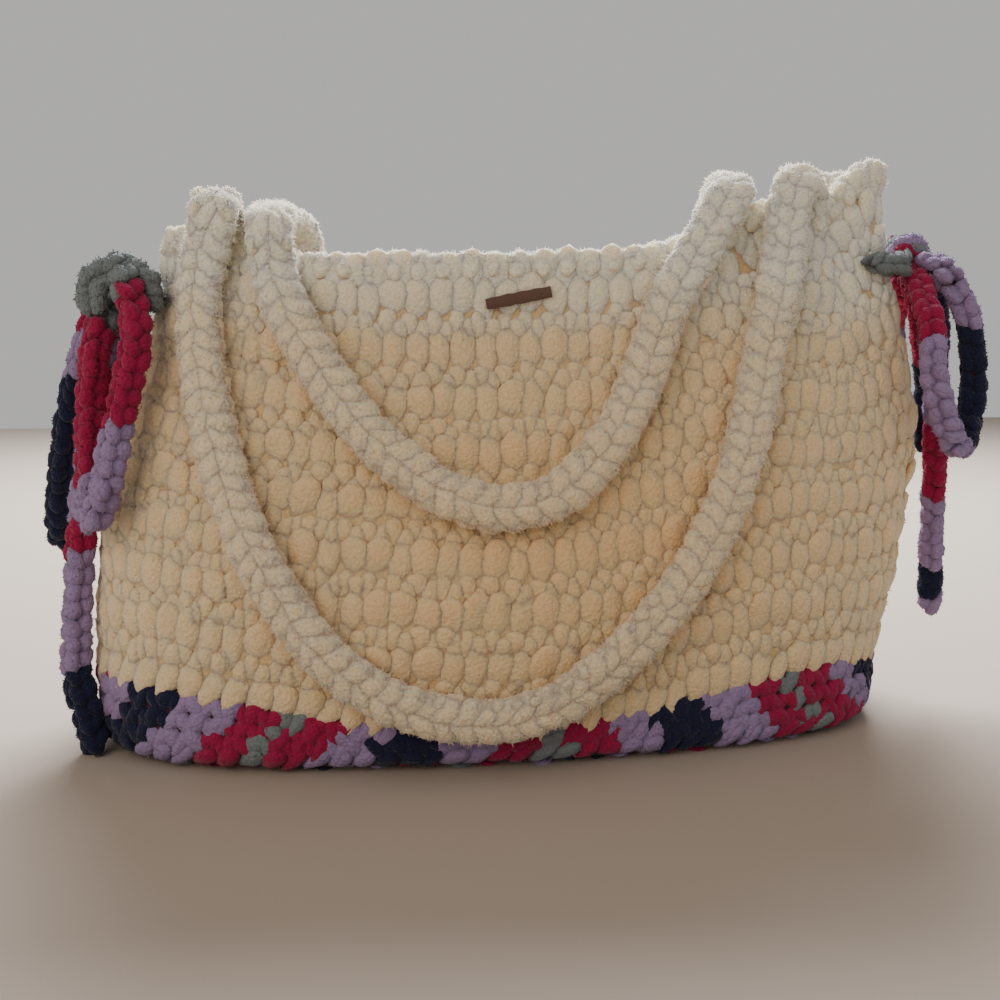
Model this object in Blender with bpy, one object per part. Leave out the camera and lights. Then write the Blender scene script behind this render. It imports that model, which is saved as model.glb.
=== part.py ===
"""A wide crocheted tote bag with a flat bottom, a band of changing colour,
a cream body, two strap handles that flop over the front, and a tied bow that
cinches each end. The front faces -Y, +X is to the right, and the middle of
the underside is the origin. All sizes are in metres."""

import math

import bmesh
import bpy
from mathutils import Vector

# The bag as a whole.
BAG_WIDTH = 0.430
BAG_DEPTH = 0.150
RIM_HEIGHT = 0.235
BAND_HEIGHT = 0.034
WALL = 0.0095
FLOOR = 0.0100
JOINT_GAP = 0.0003

# How far soft places swell out or fold in.
BELLY = 0.016
CREASE = 0.013

# The two straps.
STRAP_WIDTH = 0.0210
STRAP_THICKNESS = 0.0130
STRAP_GAP = 0.0012
ARCH_RADIUS = 0.0088
ARCH_RISE_LEFT = 0.0175
ARCH_RISE_RIGHT = 0.0125
ARCH_LEAN_LEFT = -0.002
ARCH_LEAN_RIGHT = -0.016

# The ties: a knot over each end, held by two leads from the corners.
TIE_DIAMETER = 0.0145
LEAD_DIAMETER = 0.0095
LEAD_GAP = 0.0008
LEAD_DROP = 0.0085
TIE_TAPER = 0.50
KNOT_SIZE = (0.0190, 0.0300, 0.0230)
KNOT_STANDOFF = 0.0090
KNOT_HEIGHT_LEFT = 0.2215
KNOT_HEIGHT_RIGHT = 0.2400

# The small plain strip under the rim.
LABEL_LENGTH = 0.0310
LABEL_WIDTH = 0.0055
LABEL_THICKNESS = 0.0012
LABEL_ACROSS = 0.0005
LABEL_HEIGHT = 0.2145
LABEL_TILT = math.radians(11.0)

# How finely the pieces are divided. A cord has a point at each step, in
# diameters.
COLUMNS = 64
BODY_ROWS = 14
BODY_INNER_ROWS = 10
BAND_ROWS = 3
COLUMN_SAMPLES = 24
FULLEST = 0.3
STRAP_SIDES = 12
KNOT_SIDES = 20
LABEL_STEPS = 8
CURVE_STEPS = 12
ARCH_STEPS = 4
CORD_STEP = 0.9
CORD_SIDES = 8

# Each row is one level section of the bag: its height as a share of
# RIM_HEIGHT, its reach to the left and right as shares of half of BAG_WIDTH,
# its reach to the front and back as shares of half of BAG_DEPTH, and how
# square its corners are (2 is an ellipse).
SECTIONS = (
    # height, left, right, front, back, squareness
    (0.000, 0.870, 0.830, 1.000, 0.960, 3.20),
    (0.020, 0.915, 0.875, 1.050, 1.010, 3.20),
    (0.055, 0.935, 0.905, 1.070, 1.030, 3.15),
    (0.140, 0.945, 0.918, 1.040, 1.010, 3.00),
    (0.280, 0.942, 0.965, 1.000, 0.980, 2.85),
    (0.450, 0.918, 0.998, 0.930, 0.930, 2.75),
    (0.665, 0.875, 1.017, 0.840, 0.850, 2.70),
    (0.850, 0.820, 0.997, 0.720, 0.740, 2.70),
    (1.000, 0.800, 0.966, 0.620, 0.640, 2.70),
    (1.200, 0.785, 0.942, 0.560, 0.600, 2.70),
)

# The rim's height as a share of RIM_HEIGHT, by place across the bag as a
# share of half of BAG_WIDTH. It peaks at the tied corners and dips under
# each strap.
RIM = (
    # across, front, back
    (-0.82, 1.045, 1.050),
    (-0.71, 1.045, 1.040),
    (-0.62, 1.012, 1.020),
    (-0.51, 1.000, 1.000),
    (-0.30, 0.998, 0.990),
    (0.00, 1.003, 0.990),
    (0.23, 1.012, 1.005),
    (0.36, 1.028, 1.030),
    (0.48, 1.062, 1.060),
    (0.56, 1.110, 1.075),
    (0.62, 1.120, 1.105),
    (0.69, 1.092, 1.130),
    (0.75, 1.125, 1.160),
    (0.80, 1.175, 1.185),
    (0.86, 1.210, 1.205),
    (0.94, 1.200, 1.198),
)

# The height of the line where the cream yarn starts, as a share of
# BAND_HEIGHT, by place across the bag. The belly sags over it in front.
BAND_LINE = (
    # across, front, back
    (-0.94, 1.15, 1.05),
    (-0.78, 1.12, 1.02),
    (-0.60, 0.95, 0.95),
    (-0.30, 0.66, 0.85),
    (-0.10, 0.55, 0.80),
    (0.10, 0.57, 0.80),
    (0.35, 0.80, 0.88),
    (0.60, 1.05, 0.98),
    (0.80, 1.08, 1.02),
    (0.96, 0.92, 0.92),
)

# Swells and hollows of the front and back walls: the side (-1 front,
# +1 back), their middle and spread across the bag and up it as shares of
# half of BAG_WIDTH and of RIM_HEIGHT, and their depth as a share of BELLY.
SWELLS = (
    # side, across, height, spread across, spread up, depth
    (-1, -0.05, 0.28, 0.42, 0.24, 1.00),
    (-1, -0.62, 0.42, 0.20, 0.26, 0.30),
    (-1, 0.60, 0.48, 0.24, 0.30, 0.40),
    (-1, 0.02, 0.80, 0.30, 0.15, -0.30),
    (1, 0.00, 0.40, 0.45, 0.30, 0.60),
    (1, -0.50, 0.70, 0.18, 0.20, -0.25),
    (1, 0.48, 0.74, 0.18, 0.20, -0.25),
)

# Folds of the two gussets: the end (-1 left, +1 right), their middle and
# spread up the bag as shares of RIM_HEIGHT, their width as a share of half
# of the section's depth, and their depth as a share of CREASE. A negative
# depth swells out.
FOLDS = (
    # end, height, spread up, width, depth
    (-1, 1.02, 0.24, 0.42, 1.00),
    (1, 1.08, 0.26, 0.42, 1.00),
    (-1, 0.55, 0.20, 0.60, -0.15),
    (1, 0.62, 0.20, 0.60, -0.20),
)

# Where each strap lies on the front wall, from left to right: shares of
# half of BAG_WIDTH and of RIM_HEIGHT.
FRONT_STRAP_ON_WALL = (
    # across, height
    (-0.652, 0.950),
    (-0.658, 0.850),
    (-0.645, 0.720),
    (-0.602, 0.545),
    (-0.530, 0.390),
    (-0.414, 0.245),
    (-0.262, 0.155),
    (-0.100, 0.124),
    (0.050, 0.152),
    (0.186, 0.236),
    (0.290, 0.320),
    (0.380, 0.420),
    (0.446, 0.535),
    (0.496, 0.670),
    (0.535, 0.805),
    (0.575, 0.930),
)
BACK_STRAP_ON_WALL = (
    # across, height
    (-0.506, 0.950),
    (-0.475, 0.868),
    (-0.410, 0.755),
    (-0.320, 0.645),
    (-0.203, 0.554),
    (-0.080, 0.508),
    (0.022, 0.514),
    (0.112, 0.560),
    (0.185, 0.632),
    (0.242, 0.715),
    (0.287, 0.805),
    (0.330, 0.905),
)

# Where each end of a strap is worked onto the rim, across the bag as a
# share of half of BAG_WIDTH.
FRONT_STRAP_ROOTS = (-0.625, 0.685)
BACK_STRAP_ROOTS = (-0.460, 0.570)

# The way of the back strap over the mouth, from the back rim to the front
# one, as shares of half of BAG_WIDTH, of half of BAG_DEPTH and of
# RIM_HEIGHT.
BACK_STRAP_OVER_MOUTH_LEFT = (
    # across, front to back, height
    (-0.468, 0.54, 1.048),
    (-0.486, 0.32, 1.074),
    (-0.510, 0.00, 1.080),
    (-0.520, -0.36, 1.072),
    (-0.520, -0.66, 1.042),
)
BACK_STRAP_OVER_MOUTH_RIGHT = (
    # across, front to back, height
    (0.570, 0.52, 1.115),
    (0.560, 0.32, 1.140),
    (0.535, 0.00, 1.148),
    (0.500, -0.36, 1.142),
    (0.462, -0.66, 1.106),
)

# How each lead lies, as angles round the bag from its end in degrees: from
# its hole in the wall round the corner to its bend towards the knot.
LEADS = (
    # end, hole, corner, bend
    (-1, 24.0, 18.0, 12.0),
    (1, 36.0, 27.0, 18.0),
)

# The ties' free pieces. Each point of a route is given by how far out it is
# from the bag's end at that height, in tie diameters, how deep it is from
# front to back as a share of half of BAG_DEPTH, and its height as a share of
# RIM_HEIGHT. A loop goes from the knot back to the knot.
LEFT_LOOP_FRONT = (
    # out, front to back, height
    (0.40, -0.46, 0.968),
    (-0.30, -0.60, 0.855),
    (-0.45, -0.64, 0.755),
    (-0.48, -0.68, 0.645),
    (-0.38, -0.69, 0.540),
    (-0.15, -0.63, 0.485),
    (0.15, -0.52, 0.505),
    (0.42, -0.44, 0.600),
    (0.75, -0.39, 0.715),
    (1.00, -0.42, 0.830),
)
LEFT_LOOP_BACK = (
    # out, front to back, height
    (1.60, 0.30, 0.945),
    (2.10, 0.39, 0.850),
    (2.25, 0.40, 0.720),
    (2.20, 0.40, 0.575),
    (2.15, 0.42, 0.440),
    (1.90, 0.50, 0.385),
    (1.55, 0.60, 0.410),
    (1.50, 0.64, 0.520),
    (1.45, 0.64, 0.690),
    (0.85, 0.60, 0.860),
)
LEFT_TAIL_FRONT = (
    # out, front to back, height
    (1.00, -0.04, 0.850),
    (0.90, -0.11, 0.730),
    (0.72, -0.17, 0.570),
    (0.64, -0.23, 0.460),
    (0.42, -0.37, 0.270),
    (0.36, -0.45, 0.160),
    (0.48, -0.50, 0.012),
)
LEFT_TAIL_BACK = (
    # out, front to back, height
    (1.15, 0.17, 0.850),
    (1.00, 0.21, 0.710),
    (0.90, 0.20, 0.545),
)
RIGHT_LOOP_FRONT = (
    # out, front to back, height
    (0.85, -0.42, 0.965),
    (1.32, -0.47, 0.876),
    (1.32, -0.49, 0.755),
    (0.92, -0.57, 0.642),
    (0.32, -0.67, 0.605),
    (-0.32, -0.74, 0.645),
    (-0.78, -0.76, 0.710),
    (-0.88, -0.74, 0.780),
    (-0.45, -0.60, 0.868),
)
RIGHT_LOOP_BACK = (
    # out, front to back, height
    (2.20, 0.34, 1.000),
    (2.80, 0.42, 0.925),
    (2.85, 0.46, 0.830),
    (2.60, 0.48, 0.720),
    (2.20, 0.52, 0.655),
    (1.70, 0.62, 0.665),
    (1.45, 0.64, 0.760),
    (1.40, 0.58, 0.870),
)
RIGHT_TAIL_FRONT = (
    # out, front to back, height
    (0.72, -0.15, 0.915),
    (0.90, -0.13, 0.760),
    (1.18, -0.10, 0.577),
    (1.65, -0.08, 0.389),
    (2.50, -0.06, 0.210),
)
RIGHT_TAIL_BACK = (
    # out, front to back, height
    (1.10, 0.08, 0.915),
    (1.30, 0.12, 0.760),
    (1.50, 0.14, 0.580),
)


# Reading the tables.

def lookup(table, key, column):
    """Read one column of a table along a smooth curve through its rows."""
    last = len(table) - 1
    key = min(max(key, table[0][0]), table[last][0])
    i = 0
    while i < last - 1 and table[i + 1][0] < key:
        i += 1
    x0, x1 = table[i][0], table[i + 1][0]
    y0, y1 = table[i][column], table[i + 1][column]
    chord = (y1 - y0) / (x1 - x0)
    slope0 = chord
    slope1 = chord
    if i > 0:
        slope0 = (y1 - table[i - 1][column]) / (x1 - table[i - 1][0])
    if i < last - 1:
        slope1 = (table[i + 2][column] - y0) / (table[i + 2][0] - x0)
    t = (key - x0) / (x1 - x0)
    h = x1 - x0
    return (
        (2 * t**3 - 3 * t**2 + 1) * y0
        + (t**3 - 2 * t**2 + t) * h * slope0
        + (3 * t**2 - 2 * t**3) * y1
        + (t**3 - t**2) * h * slope1
    )


def bump(value, middle, spread):
    return math.exp(-(((value - middle) / spread) ** 2))


# The bag's outer surface.

def section(height):
    """The reaches and squareness of the level section at a height."""
    share = height / RIM_HEIGHT
    left = lookup(SECTIONS, share, 1) * BAG_WIDTH / 2
    right = lookup(SECTIONS, share, 2) * BAG_WIDTH / 2
    front = lookup(SECTIONS, share, 3) * BAG_DEPTH / 2
    back = lookup(SECTIONS, share, 4) * BAG_DEPTH / 2
    return left, right, front, back, lookup(SECTIONS, share, 5)


def swell(side, x, height):
    """How far a wall stands out from its plain section."""
    across = x / (BAG_WIDTH / 2)
    share = height / RIM_HEIGHT
    total = 0.0
    for row_side, middle, up, spread, spread_up, depth in SWELLS:
        if row_side == side:
            total += depth * bump(across, middle, spread) * bump(share, up, spread_up)
    return total * BELLY


def fold(end, deep, height):
    """How far a gusset is folded in at a share of its depth."""
    share = height / RIM_HEIGHT
    total = 0.0
    for row_end, middle, spread_up, width, depth in FOLDS:
        if row_end == end:
            total += depth * bump(share, middle, spread_up) * bump(deep, 0.0, width)
    return total * CREASE


def outline_point(angle, height):
    """The outer surface at an angle round the bag and a height."""
    left, right, front, back, square = section(height)
    c, s = math.cos(angle), math.sin(angle)
    end = 1 if c >= 0 else -1
    side = 1 if s >= 0 else -1
    along = abs(c) ** (2 / square)
    deep = abs(s) ** (2 / square)
    x = end * along * (right if end > 0 else left)
    y = side * deep * (back if side > 0 else front)
    y += side * swell(side, x, height) * deep**2
    x -= end * fold(end, side * deep, height) * along**6
    return Vector((x, y, height))


def wall_face(side, x, height):
    """The depth of the front or back wall's outer face at a place across."""
    left, right, front, back, square = section(height)
    reach = right if x > 0 else left
    along = min(abs(x) / reach, 1.0)
    deep = (1 - along**square) ** (1 / square)
    return side * (deep * (back if side > 0 else front) + swell(side, x, height) * deep**2)


def surface_normal(angle, height):
    """The way that the outer surface faces, its lean included."""
    round_bag = outline_point(angle + 0.01, height) - outline_point(angle - 0.01, height)
    up_bag = outline_point(angle, height + 0.001) - outline_point(angle, height - 0.001)
    return round_bag.cross(up_bag).normalized()


def column_angles():
    """Angles that share the fullest outline into columns of equal width."""
    height = FULLEST * RIM_HEIGHT
    samples = COLUMNS * COLUMN_SAMPLES
    points = [outline_point(2 * math.pi * i / samples, height) for i in range(samples + 1)]
    lengths = [0.0]
    for i in range(samples):
        lengths.append(lengths[-1] + (points[i + 1] - points[i]).length)
    angles = []
    i = 0
    for column in range(COLUMNS):
        target = lengths[-1] * column / COLUMNS
        while lengths[i + 1] < target:
            i += 1
        part = (target - lengths[i]) / (lengths[i + 1] - lengths[i])
        angles.append(2 * math.pi * (i + part) / samples)
    return angles


ANGLES = column_angles()


def edge_height(table, angle, size):
    """The height of the rim or the band line at an angle round the bag."""
    point = outline_point(angle, size)
    across = point.x / (BAG_WIDTH / 2)
    deep = math.sin(angle)
    back_part = 0.5 + 0.5 * deep * (1.5 - 0.5 * deep**2)
    front_height = lookup(table, across, 1)
    back_height = lookup(table, across, 2)
    return size * (front_height + (back_height - front_height) * back_part)


def ring(heights, inset):
    """One closed ring of points, set in from the outer face."""
    outer = [outline_point(a, h) for a, h in zip(ANGLES, heights)]
    points = []
    for i, point in enumerate(outer):
        before, after = outer[i - 1], outer[(i + 1) % COLUMNS]
        along = after - before
        outward = Vector((along.y, -along.x, 0)).normalized()
        points.append(point - outward * inset)
    return points


# Making objects.

def material(name, color, roughness):
    mat = bpy.data.materials.new(name)
    mat.use_nodes = True
    shader = mat.node_tree.nodes["Principled BSDF"]
    shader.inputs["Base Color"].default_value = (*color, 1)
    shader.inputs["Roughness"].default_value = roughness
    shader.inputs["Metallic"].default_value = 0.0
    return mat


def add_object(name, bm, mat):
    bmesh.ops.recalc_face_normals(bm, faces=bm.faces)
    mesh = bpy.data.meshes.new(name)
    bm.to_mesh(mesh)
    bm.free()
    mesh.materials.append(mat)
    mesh.shade_smooth()
    obj = bpy.data.objects.new(name, mesh)
    bpy.context.collection.objects.link(obj)
    return obj


def skin(rings, closed):
    """Faces between rings of equal count: a tube with end caps, or a
    closed tunnel whose last ring meets the first."""
    bm = bmesh.new()
    rows = [[bm.verts.new(p) for p in points] for points in rings]
    count = len(rows[0])
    pairs = list(zip(rows, rows[1:]))
    if closed:
        pairs.append((rows[-1], rows[0]))
    for low, high in pairs:
        for i in range(count):
            j = (i + 1) % count
            bm.faces.new((low[i], low[j], high[j], high[i]))
    if not closed:
        bm.faces.new(rows[0])
        bm.faces.new(rows[-1])
    return bm


# The pieces.

# The rounded top edge of the wall: inset and drop as shares of WALL.
RIM_EDGE = (
    # inset, drop
    (0.00, 0.50),
    (0.08, 0.20),
    (0.27, 0.00),
    (0.73, 0.00),
    (0.92, 0.20),
    (1.00, 0.50),
)


def make_body(mat):
    """The cream tube: up the outside, over the rim and down the inside."""
    low = [edge_height(BAND_LINE, a, BAND_HEIGHT) + JOINT_GAP for a in ANGLES]
    high = [edge_height(RIM, a, RIM_HEIGHT) for a in ANGLES]
    top_drop = RIM_EDGE[0][1] * WALL
    rings = []
    for row in range(BODY_ROWS):
        part = row / BODY_ROWS
        heights = [a + (b - top_drop - a) * part for a, b in zip(low, high)]
        rings.append(ring(heights, 0.0))
    for inset, drop in RIM_EDGE:
        rings.append(ring([h - drop * WALL for h in high], inset * WALL))
    for row in range(1, BODY_INNER_ROWS + 1):
        part = 1 - row / BODY_INNER_ROWS
        heights = [a + (b - top_drop - a) * part for a, b in zip(low, high)]
        rings.append(ring(heights, WALL))
    return add_object("body", skin(rings, closed=True), mat)


# The bottom edge of the base: height as a share of FLOOR, from the flat
# underside up.
BASE_EDGE = (0.0, 0.45, 1.2)
# The inner corner of the base: inset past the wall and height over the
# floor, as shares of FLOOR.
BASE_CORNER = (
    # inset, rise
    (0.00, 0.55),
    (0.20, 0.15),
    (0.60, 0.00),
)


def make_base(mat):
    """The tray: a flat bottom and the wall of the colour-changing band."""
    high = [edge_height(BAND_LINE, a, BAND_HEIGHT) for a in ANGLES]
    rings = []
    for share in BASE_EDGE:
        rings.append(ring([share * FLOOR] * COLUMNS, 0.0))
    shoulder = BASE_EDGE[-1] * FLOOR
    for row in range(1, BAND_ROWS + 1):
        part = row / BAND_ROWS
        rings.append(ring([shoulder + (h - shoulder) * part for h in high], 0.0))
    rings.append(ring(high, WALL))
    for inset, rise in BASE_CORNER:
        height = FLOOR * (1 + rise)
        level = ring([shoulder + FLOOR * rise] * COLUMNS, WALL + inset * FLOOR)
        rings.append([Vector((p.x, p.y, height)) for p in level])
    return add_object("base", skin(rings, closed=False), mat)


def smooth_path(points, step):
    """Points at even steps along a smooth curve through the given ones.
    Each given point may carry more values, which are smoothed too."""
    dense = []
    last = len(points) - 1
    for i in range(last):
        p1, p2 = points[i], points[i + 1]
        p0 = points[i - 1] if i > 0 else [2 * a - b for a, b in zip(p1, p2)]
        p3 = points[i + 2] if i + 2 <= last else [2 * b - a for a, b in zip(p1, p2)]
        for k in range(CURVE_STEPS):
            t = k / CURVE_STEPS
            dense.append([
                0.5 * (2 * b + (c - a) * t + (2 * a - 5 * b + 4 * c - d) * t**2
                       + (3 * b - a - 3 * c + d) * t**3)
                for a, b, c, d in zip(p0, p1, p2, p3)
            ])
    dense.append(list(points[last]))
    lengths = [0.0]
    for a, b in zip(dense, dense[1:]):
        lengths.append(lengths[-1] + math.dist(a[:3], b[:3]))
    count = max(2, round(lengths[-1] / step))
    path = []
    i = 0
    for k in range(count + 1):
        target = lengths[-1] * k / count
        while i < len(dense) - 2 and lengths[i + 1] < target:
            i += 1
        part = (target - lengths[i]) / (lengths[i + 1] - lengths[i])
        path.append([a + (b - a) * part for a, b in zip(dense[i], dense[i + 1])])
    return path


def rim_middle():
    """The middle of the rim's flat top, one point a column."""
    return ring([edge_height(RIM, a, RIM_HEIGHT) for a in ANGLES], WALL / 2)


def rim_top(x, y):
    """The rim's flat top at the place nearest to one in plan."""
    points = rim_middle()
    nearest = None
    for before, after in zip(points, points[1:] + points[:1]):
        run_x, run_y = after.x - before.x, after.y - before.y
        part = ((x - before.x) * run_x + (y - before.y) * run_y) / (run_x**2 + run_y**2)
        place = before.lerp(after, min(max(part, 0.0), 1.0))
        away = math.hypot(place.x - x, place.y - y)
        if nearest is None or away < nearest[0]:
            nearest = (away, place)
    return nearest[1]


def rim_root(side, across):
    """The middle of the rim's flat top, where a strap is worked on."""
    x = across * BAG_WIDTH / 2
    return rim_top(x, wall_face(side, x, RIM_HEIGHT) - side * WALL / 2)


def on_wall(row):
    """A strap's middle, and the way it faces, where it lies against the
    front wall."""
    x = row[0] * BAG_WIDTH / 2
    height = row[1] * RIM_HEIGHT
    reach = STRAP_WIDTH / 2
    y = wall_face(-1, x, height)
    slope_x = (wall_face(-1, x + reach, height) - wall_face(-1, x - reach, height)) / STRAP_WIDTH
    slope_z = (wall_face(-1, x, height + reach) - wall_face(-1, x, height - reach)) / STRAP_WIDTH
    out = Vector((slope_x, -1.0, slope_z)).normalized()
    middle = Vector((x, y, height)) + out * (STRAP_THICKNESS / 2 + STRAP_GAP)
    return (*middle, *out)


def arch(across, rise, lean):
    """The way of a front strap up from the rim, over and forward. Each
    point carries the way that the strap's outer face looks."""
    root = rim_root(-1, across)
    way = [(*root, 0.0, 1.0, 0.0)]
    stem = rise - ARCH_RADIUS
    centre = root + Vector((0, -ARCH_RADIUS + STRAP_GAP, stem))
    way.append((root.x, root.y + STRAP_GAP / 2, root.z + stem / 2, 0.0, 1.0, 0.0))
    for i in range(ARCH_STEPS + 1):
        turn = math.pi * i / ARCH_STEPS
        out = Vector((0, math.cos(turn), math.sin(turn)))
        point = centre + out * ARCH_RADIUS
        way.append((point.x + lean * i / ARCH_STEPS, point.y, point.z, 0.0, out.y, out.z))
    return way


def over_mouth(rows, root_across):
    """The way of the back strap from the back rim over the mouth."""
    root = rim_root(1, root_across)
    way = [(*root, 0.0, 1.0, 0.0)]
    for across, deep, height in rows:
        middle = (across * BAG_WIDTH / 2, deep * BAG_DEPTH / 2, height * RIM_HEIGHT)
        way.append((*middle, 0.0, deep, 1.0 - abs(deep) / 2))
    return way


def make_strap(name, way, mat):
    """An oval strap along a way, as thin as the wall at its two ends."""
    path = smooth_path(way, STRAP_THICKNESS)
    rings = []
    last = len(path) - 1
    for i, values in enumerate(path):
        middle = Vector(values[:3])
        before = Vector(path[max(i - 1, 0)][:3])
        after = Vector(path[min(i + 1, last)][:3])
        along = (after - before).normalized()
        if i in (0, last):
            along = Vector((0, 0, 1 if i == 0 else -1))
        out = Vector(values[3:])
        out = (out - along * out.dot(along)).normalized()
        across = along.cross(out)
        near_end = min(i, last - i)
        thickness = WALL if near_end == 0 else STRAP_THICKNESS
        points = []
        for k in range(STRAP_SIDES):
            turn = 2 * math.pi * k / STRAP_SIDES
            points.append(
                middle
                + across * math.cos(turn) * STRAP_WIDTH / 2
                + out * math.sin(turn) * thickness / 2
            )
            if near_end == 0:
                points[k].z = rim_top(points[k].x, points[k].y).z + JOINT_GAP
        rings.append(points)
    return add_object(name, skin(rings, closed=False), mat)


def make_front_strap(mat):
    left = arch(FRONT_STRAP_ROOTS[0], ARCH_RISE_LEFT, ARCH_LEAN_LEFT)
    right = arch(FRONT_STRAP_ROOTS[1], ARCH_RISE_RIGHT, ARCH_LEAN_RIGHT)
    wall = [on_wall(row) for row in FRONT_STRAP_ON_WALL]
    return make_strap("handle_front", left + wall + right[::-1], mat)


def make_back_strap(mat):
    left = over_mouth(BACK_STRAP_OVER_MOUTH_LEFT, BACK_STRAP_ROOTS[0])
    right = over_mouth(BACK_STRAP_OVER_MOUTH_RIGHT, BACK_STRAP_ROOTS[1])
    wall = [on_wall(row) for row in BACK_STRAP_ON_WALL]
    return make_strap("handle_back", left + wall + right[::-1], mat)


def make_label(mat):
    """A thin strip that follows the front wall."""
    rings = []
    for i in range(LABEL_STEPS + 1):
        run = (i / LABEL_STEPS - 0.5) * LABEL_LENGTH
        corners = []
        for up, out in ((-0.5, 0), (0.5, 0), (0.5, 1), (-0.5, 1)):
            rise = up * LABEL_WIDTH
            x = LABEL_ACROSS + run * math.cos(LABEL_TILT) - rise * math.sin(LABEL_TILT)
            z = LABEL_HEIGHT + run * math.sin(LABEL_TILT) + rise * math.cos(LABEL_TILT)
            y = wall_face(-1, x, z) - JOINT_GAP - out * LABEL_THICKNESS
            corners.append(Vector((x, y, z)))
        rings.append(corners)
    return add_object("label", skin(rings, closed=False), mat)


def knot_middle(end):
    """A knot lies over the mouth of its gusset's fold."""
    height = KNOT_HEIGHT_RIGHT if end > 0 else KNOT_HEIGHT_LEFT
    reach = max(abs(outline_point(a, height).x) for a in ANGLES
                if math.cos(a) * end > 0)
    return Vector((end * (reach + KNOT_STANDOFF + KNOT_SIZE[0] / 2), 0, height))


def make_knot(end, mat):
    name = "tie_right_knot" if end > 0 else "tie_left_knot"
    bm = bmesh.new()
    bmesh.ops.create_uvsphere(bm, u_segments=KNOT_SIDES, v_segments=KNOT_SIDES // 2, radius=0.5)
    bmesh.ops.scale(bm, vec=KNOT_SIZE, verts=bm.verts)
    bmesh.ops.translate(bm, vec=knot_middle(end), verts=bm.verts)
    return add_object(name, bm, mat)


def knot_port(end, beyond, diameter):
    """The point just off a knot where a cord to a point beyond leaves it,
    clear for the cord's flat end."""
    middle = knot_middle(end)
    way = (beyond - middle).normalized()
    half = [size / 2 for size in KNOT_SIZE]
    reach = 1 / math.sqrt(sum((w / h) ** 2 for w, h in zip(way, half)))
    surface = way * reach
    faces = Vector([s / h**2 for s, h in zip(surface, half)]).normalized()
    straight = faces.dot(way)
    dip = TIE_TAPER * diameter / 2 * math.sqrt(1 - straight**2)
    return middle + surface + way * (JOINT_GAP + dip) / straight


def make_lead(end, turns, side, mat):
    """The tie from its hole in the wall round the corner to the knot."""
    names = {-1: "front", 1: "back"}
    name = f"tie_{'right' if end > 0 else 'left'}_lead_{names[side]}"
    radius = LEAD_DIAMETER / 2
    height = knot_middle(end).z - LEAD_DROP
    way = []
    for degrees in turns:
        angle = math.radians(degrees)
        if end < 0:
            angle = math.pi - angle
        angle *= side
        out = surface_normal(angle, height)
        way.append(outline_point(angle, height) + out * (radius + LEAD_GAP))
    way.append(knot_port(end, way[-1], LEAD_DIAMETER))
    return make_cord(name, way, LEAD_DIAMETER, False, mat)


def tie_route(end, rows, loop):
    """A tie's route off its knot: a loop comes back to the knot."""
    points = []
    for out, deep, share in rows:
        height = share * RIM_HEIGHT
        left, right, front, back, square = section(height)
        reach = right if end > 0 else left
        x = end * (reach + out * TIE_DIAMETER)
        points.append(Vector((x, deep * BAG_DEPTH / 2, height)))
    way = [knot_port(end, points[0], TIE_DIAMETER)] + points
    if loop:
        way.append(knot_port(end, points[-1], TIE_DIAMETER))
    return way


def make_cord(name, way, diameter, slim_start, mat):
    """A round soft cord on a smooth curve, slim where it meets a knot."""
    path = smooth_path([tuple(p) for p in way], diameter * CORD_STEP)
    curve = bpy.data.curves.new(name, "CURVE")
    curve.dimensions = "3D"
    curve.bevel_depth = diameter / 2
    curve.bevel_resolution = CORD_SIDES // 2 - 2
    curve.use_fill_caps = True
    spline = curve.splines.new("POLY")
    spline.points.add(len(path) - 1)
    for i, point in enumerate(path):
        spline.points[i].co = (*point, 1)
        spline.points[i].radius = 1.0
    if slim_start:
        spline.points[0].radius = TIE_TAPER
    spline.points[len(path) - 1].radius = TIE_TAPER
    curve.materials.append(mat)
    obj = bpy.data.objects.new(name, curve)
    bpy.context.collection.objects.link(obj)
    return obj


def build():
    for obj in list(bpy.data.objects):
        bpy.data.objects.remove(obj, do_unlink=True)
    cream = material("cream_chenille", (0.86, 0.79, 0.64), 0.95)
    mixed = material("changing_chenille", (0.44, 0.16, 0.27), 0.95)
    brown = material("brown_strip", (0.17, 0.09, 0.06), 0.80)
    make_base(mixed)
    make_body(cream)
    make_front_strap(cream)
    make_back_strap(cream)
    make_label(brown)
    for end, *turns in LEADS:
        make_knot(end, mixed)
        for side in (-1, 1):
            make_lead(end, turns, side, mixed)
    for name, end, rows, loop in (
        ("tie_left_loop_front", -1, LEFT_LOOP_FRONT, True),
        ("tie_left_loop_back", -1, LEFT_LOOP_BACK, True),
        ("tie_left_tail_front", -1, LEFT_TAIL_FRONT, False),
        ("tie_left_tail_back", -1, LEFT_TAIL_BACK, False),
        ("tie_right_loop_front", 1, RIGHT_LOOP_FRONT, True),
        ("tie_right_loop_back", 1, RIGHT_LOOP_BACK, True),
        ("tie_right_tail_front", 1, RIGHT_TAIL_FRONT, False),
        ("tie_right_tail_back", 1, RIGHT_TAIL_BACK, False),
    ):
        make_cord(name, tie_route(end, rows, loop), TIE_DIAMETER, True, mixed)


build()
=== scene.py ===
# %% [markdown]
# # A crocheted tote bag in thick chenille yarn
#
# The real bag is a wide soft tube of crochet on a flat bottom. Everything on
# it is made of one thing, a plump looped stitch, laid in rows. So this lesson
# makes one stitch well, and then teaches Blender to lay thousands of them on
# the walls, the bottom, the straps and the ties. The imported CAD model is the
# frame: each crocheted piece sits where its solid is.

import math
import random

import bmesh
import bpy
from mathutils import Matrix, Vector
from mathutils.bvhtree import BVHTree


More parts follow.
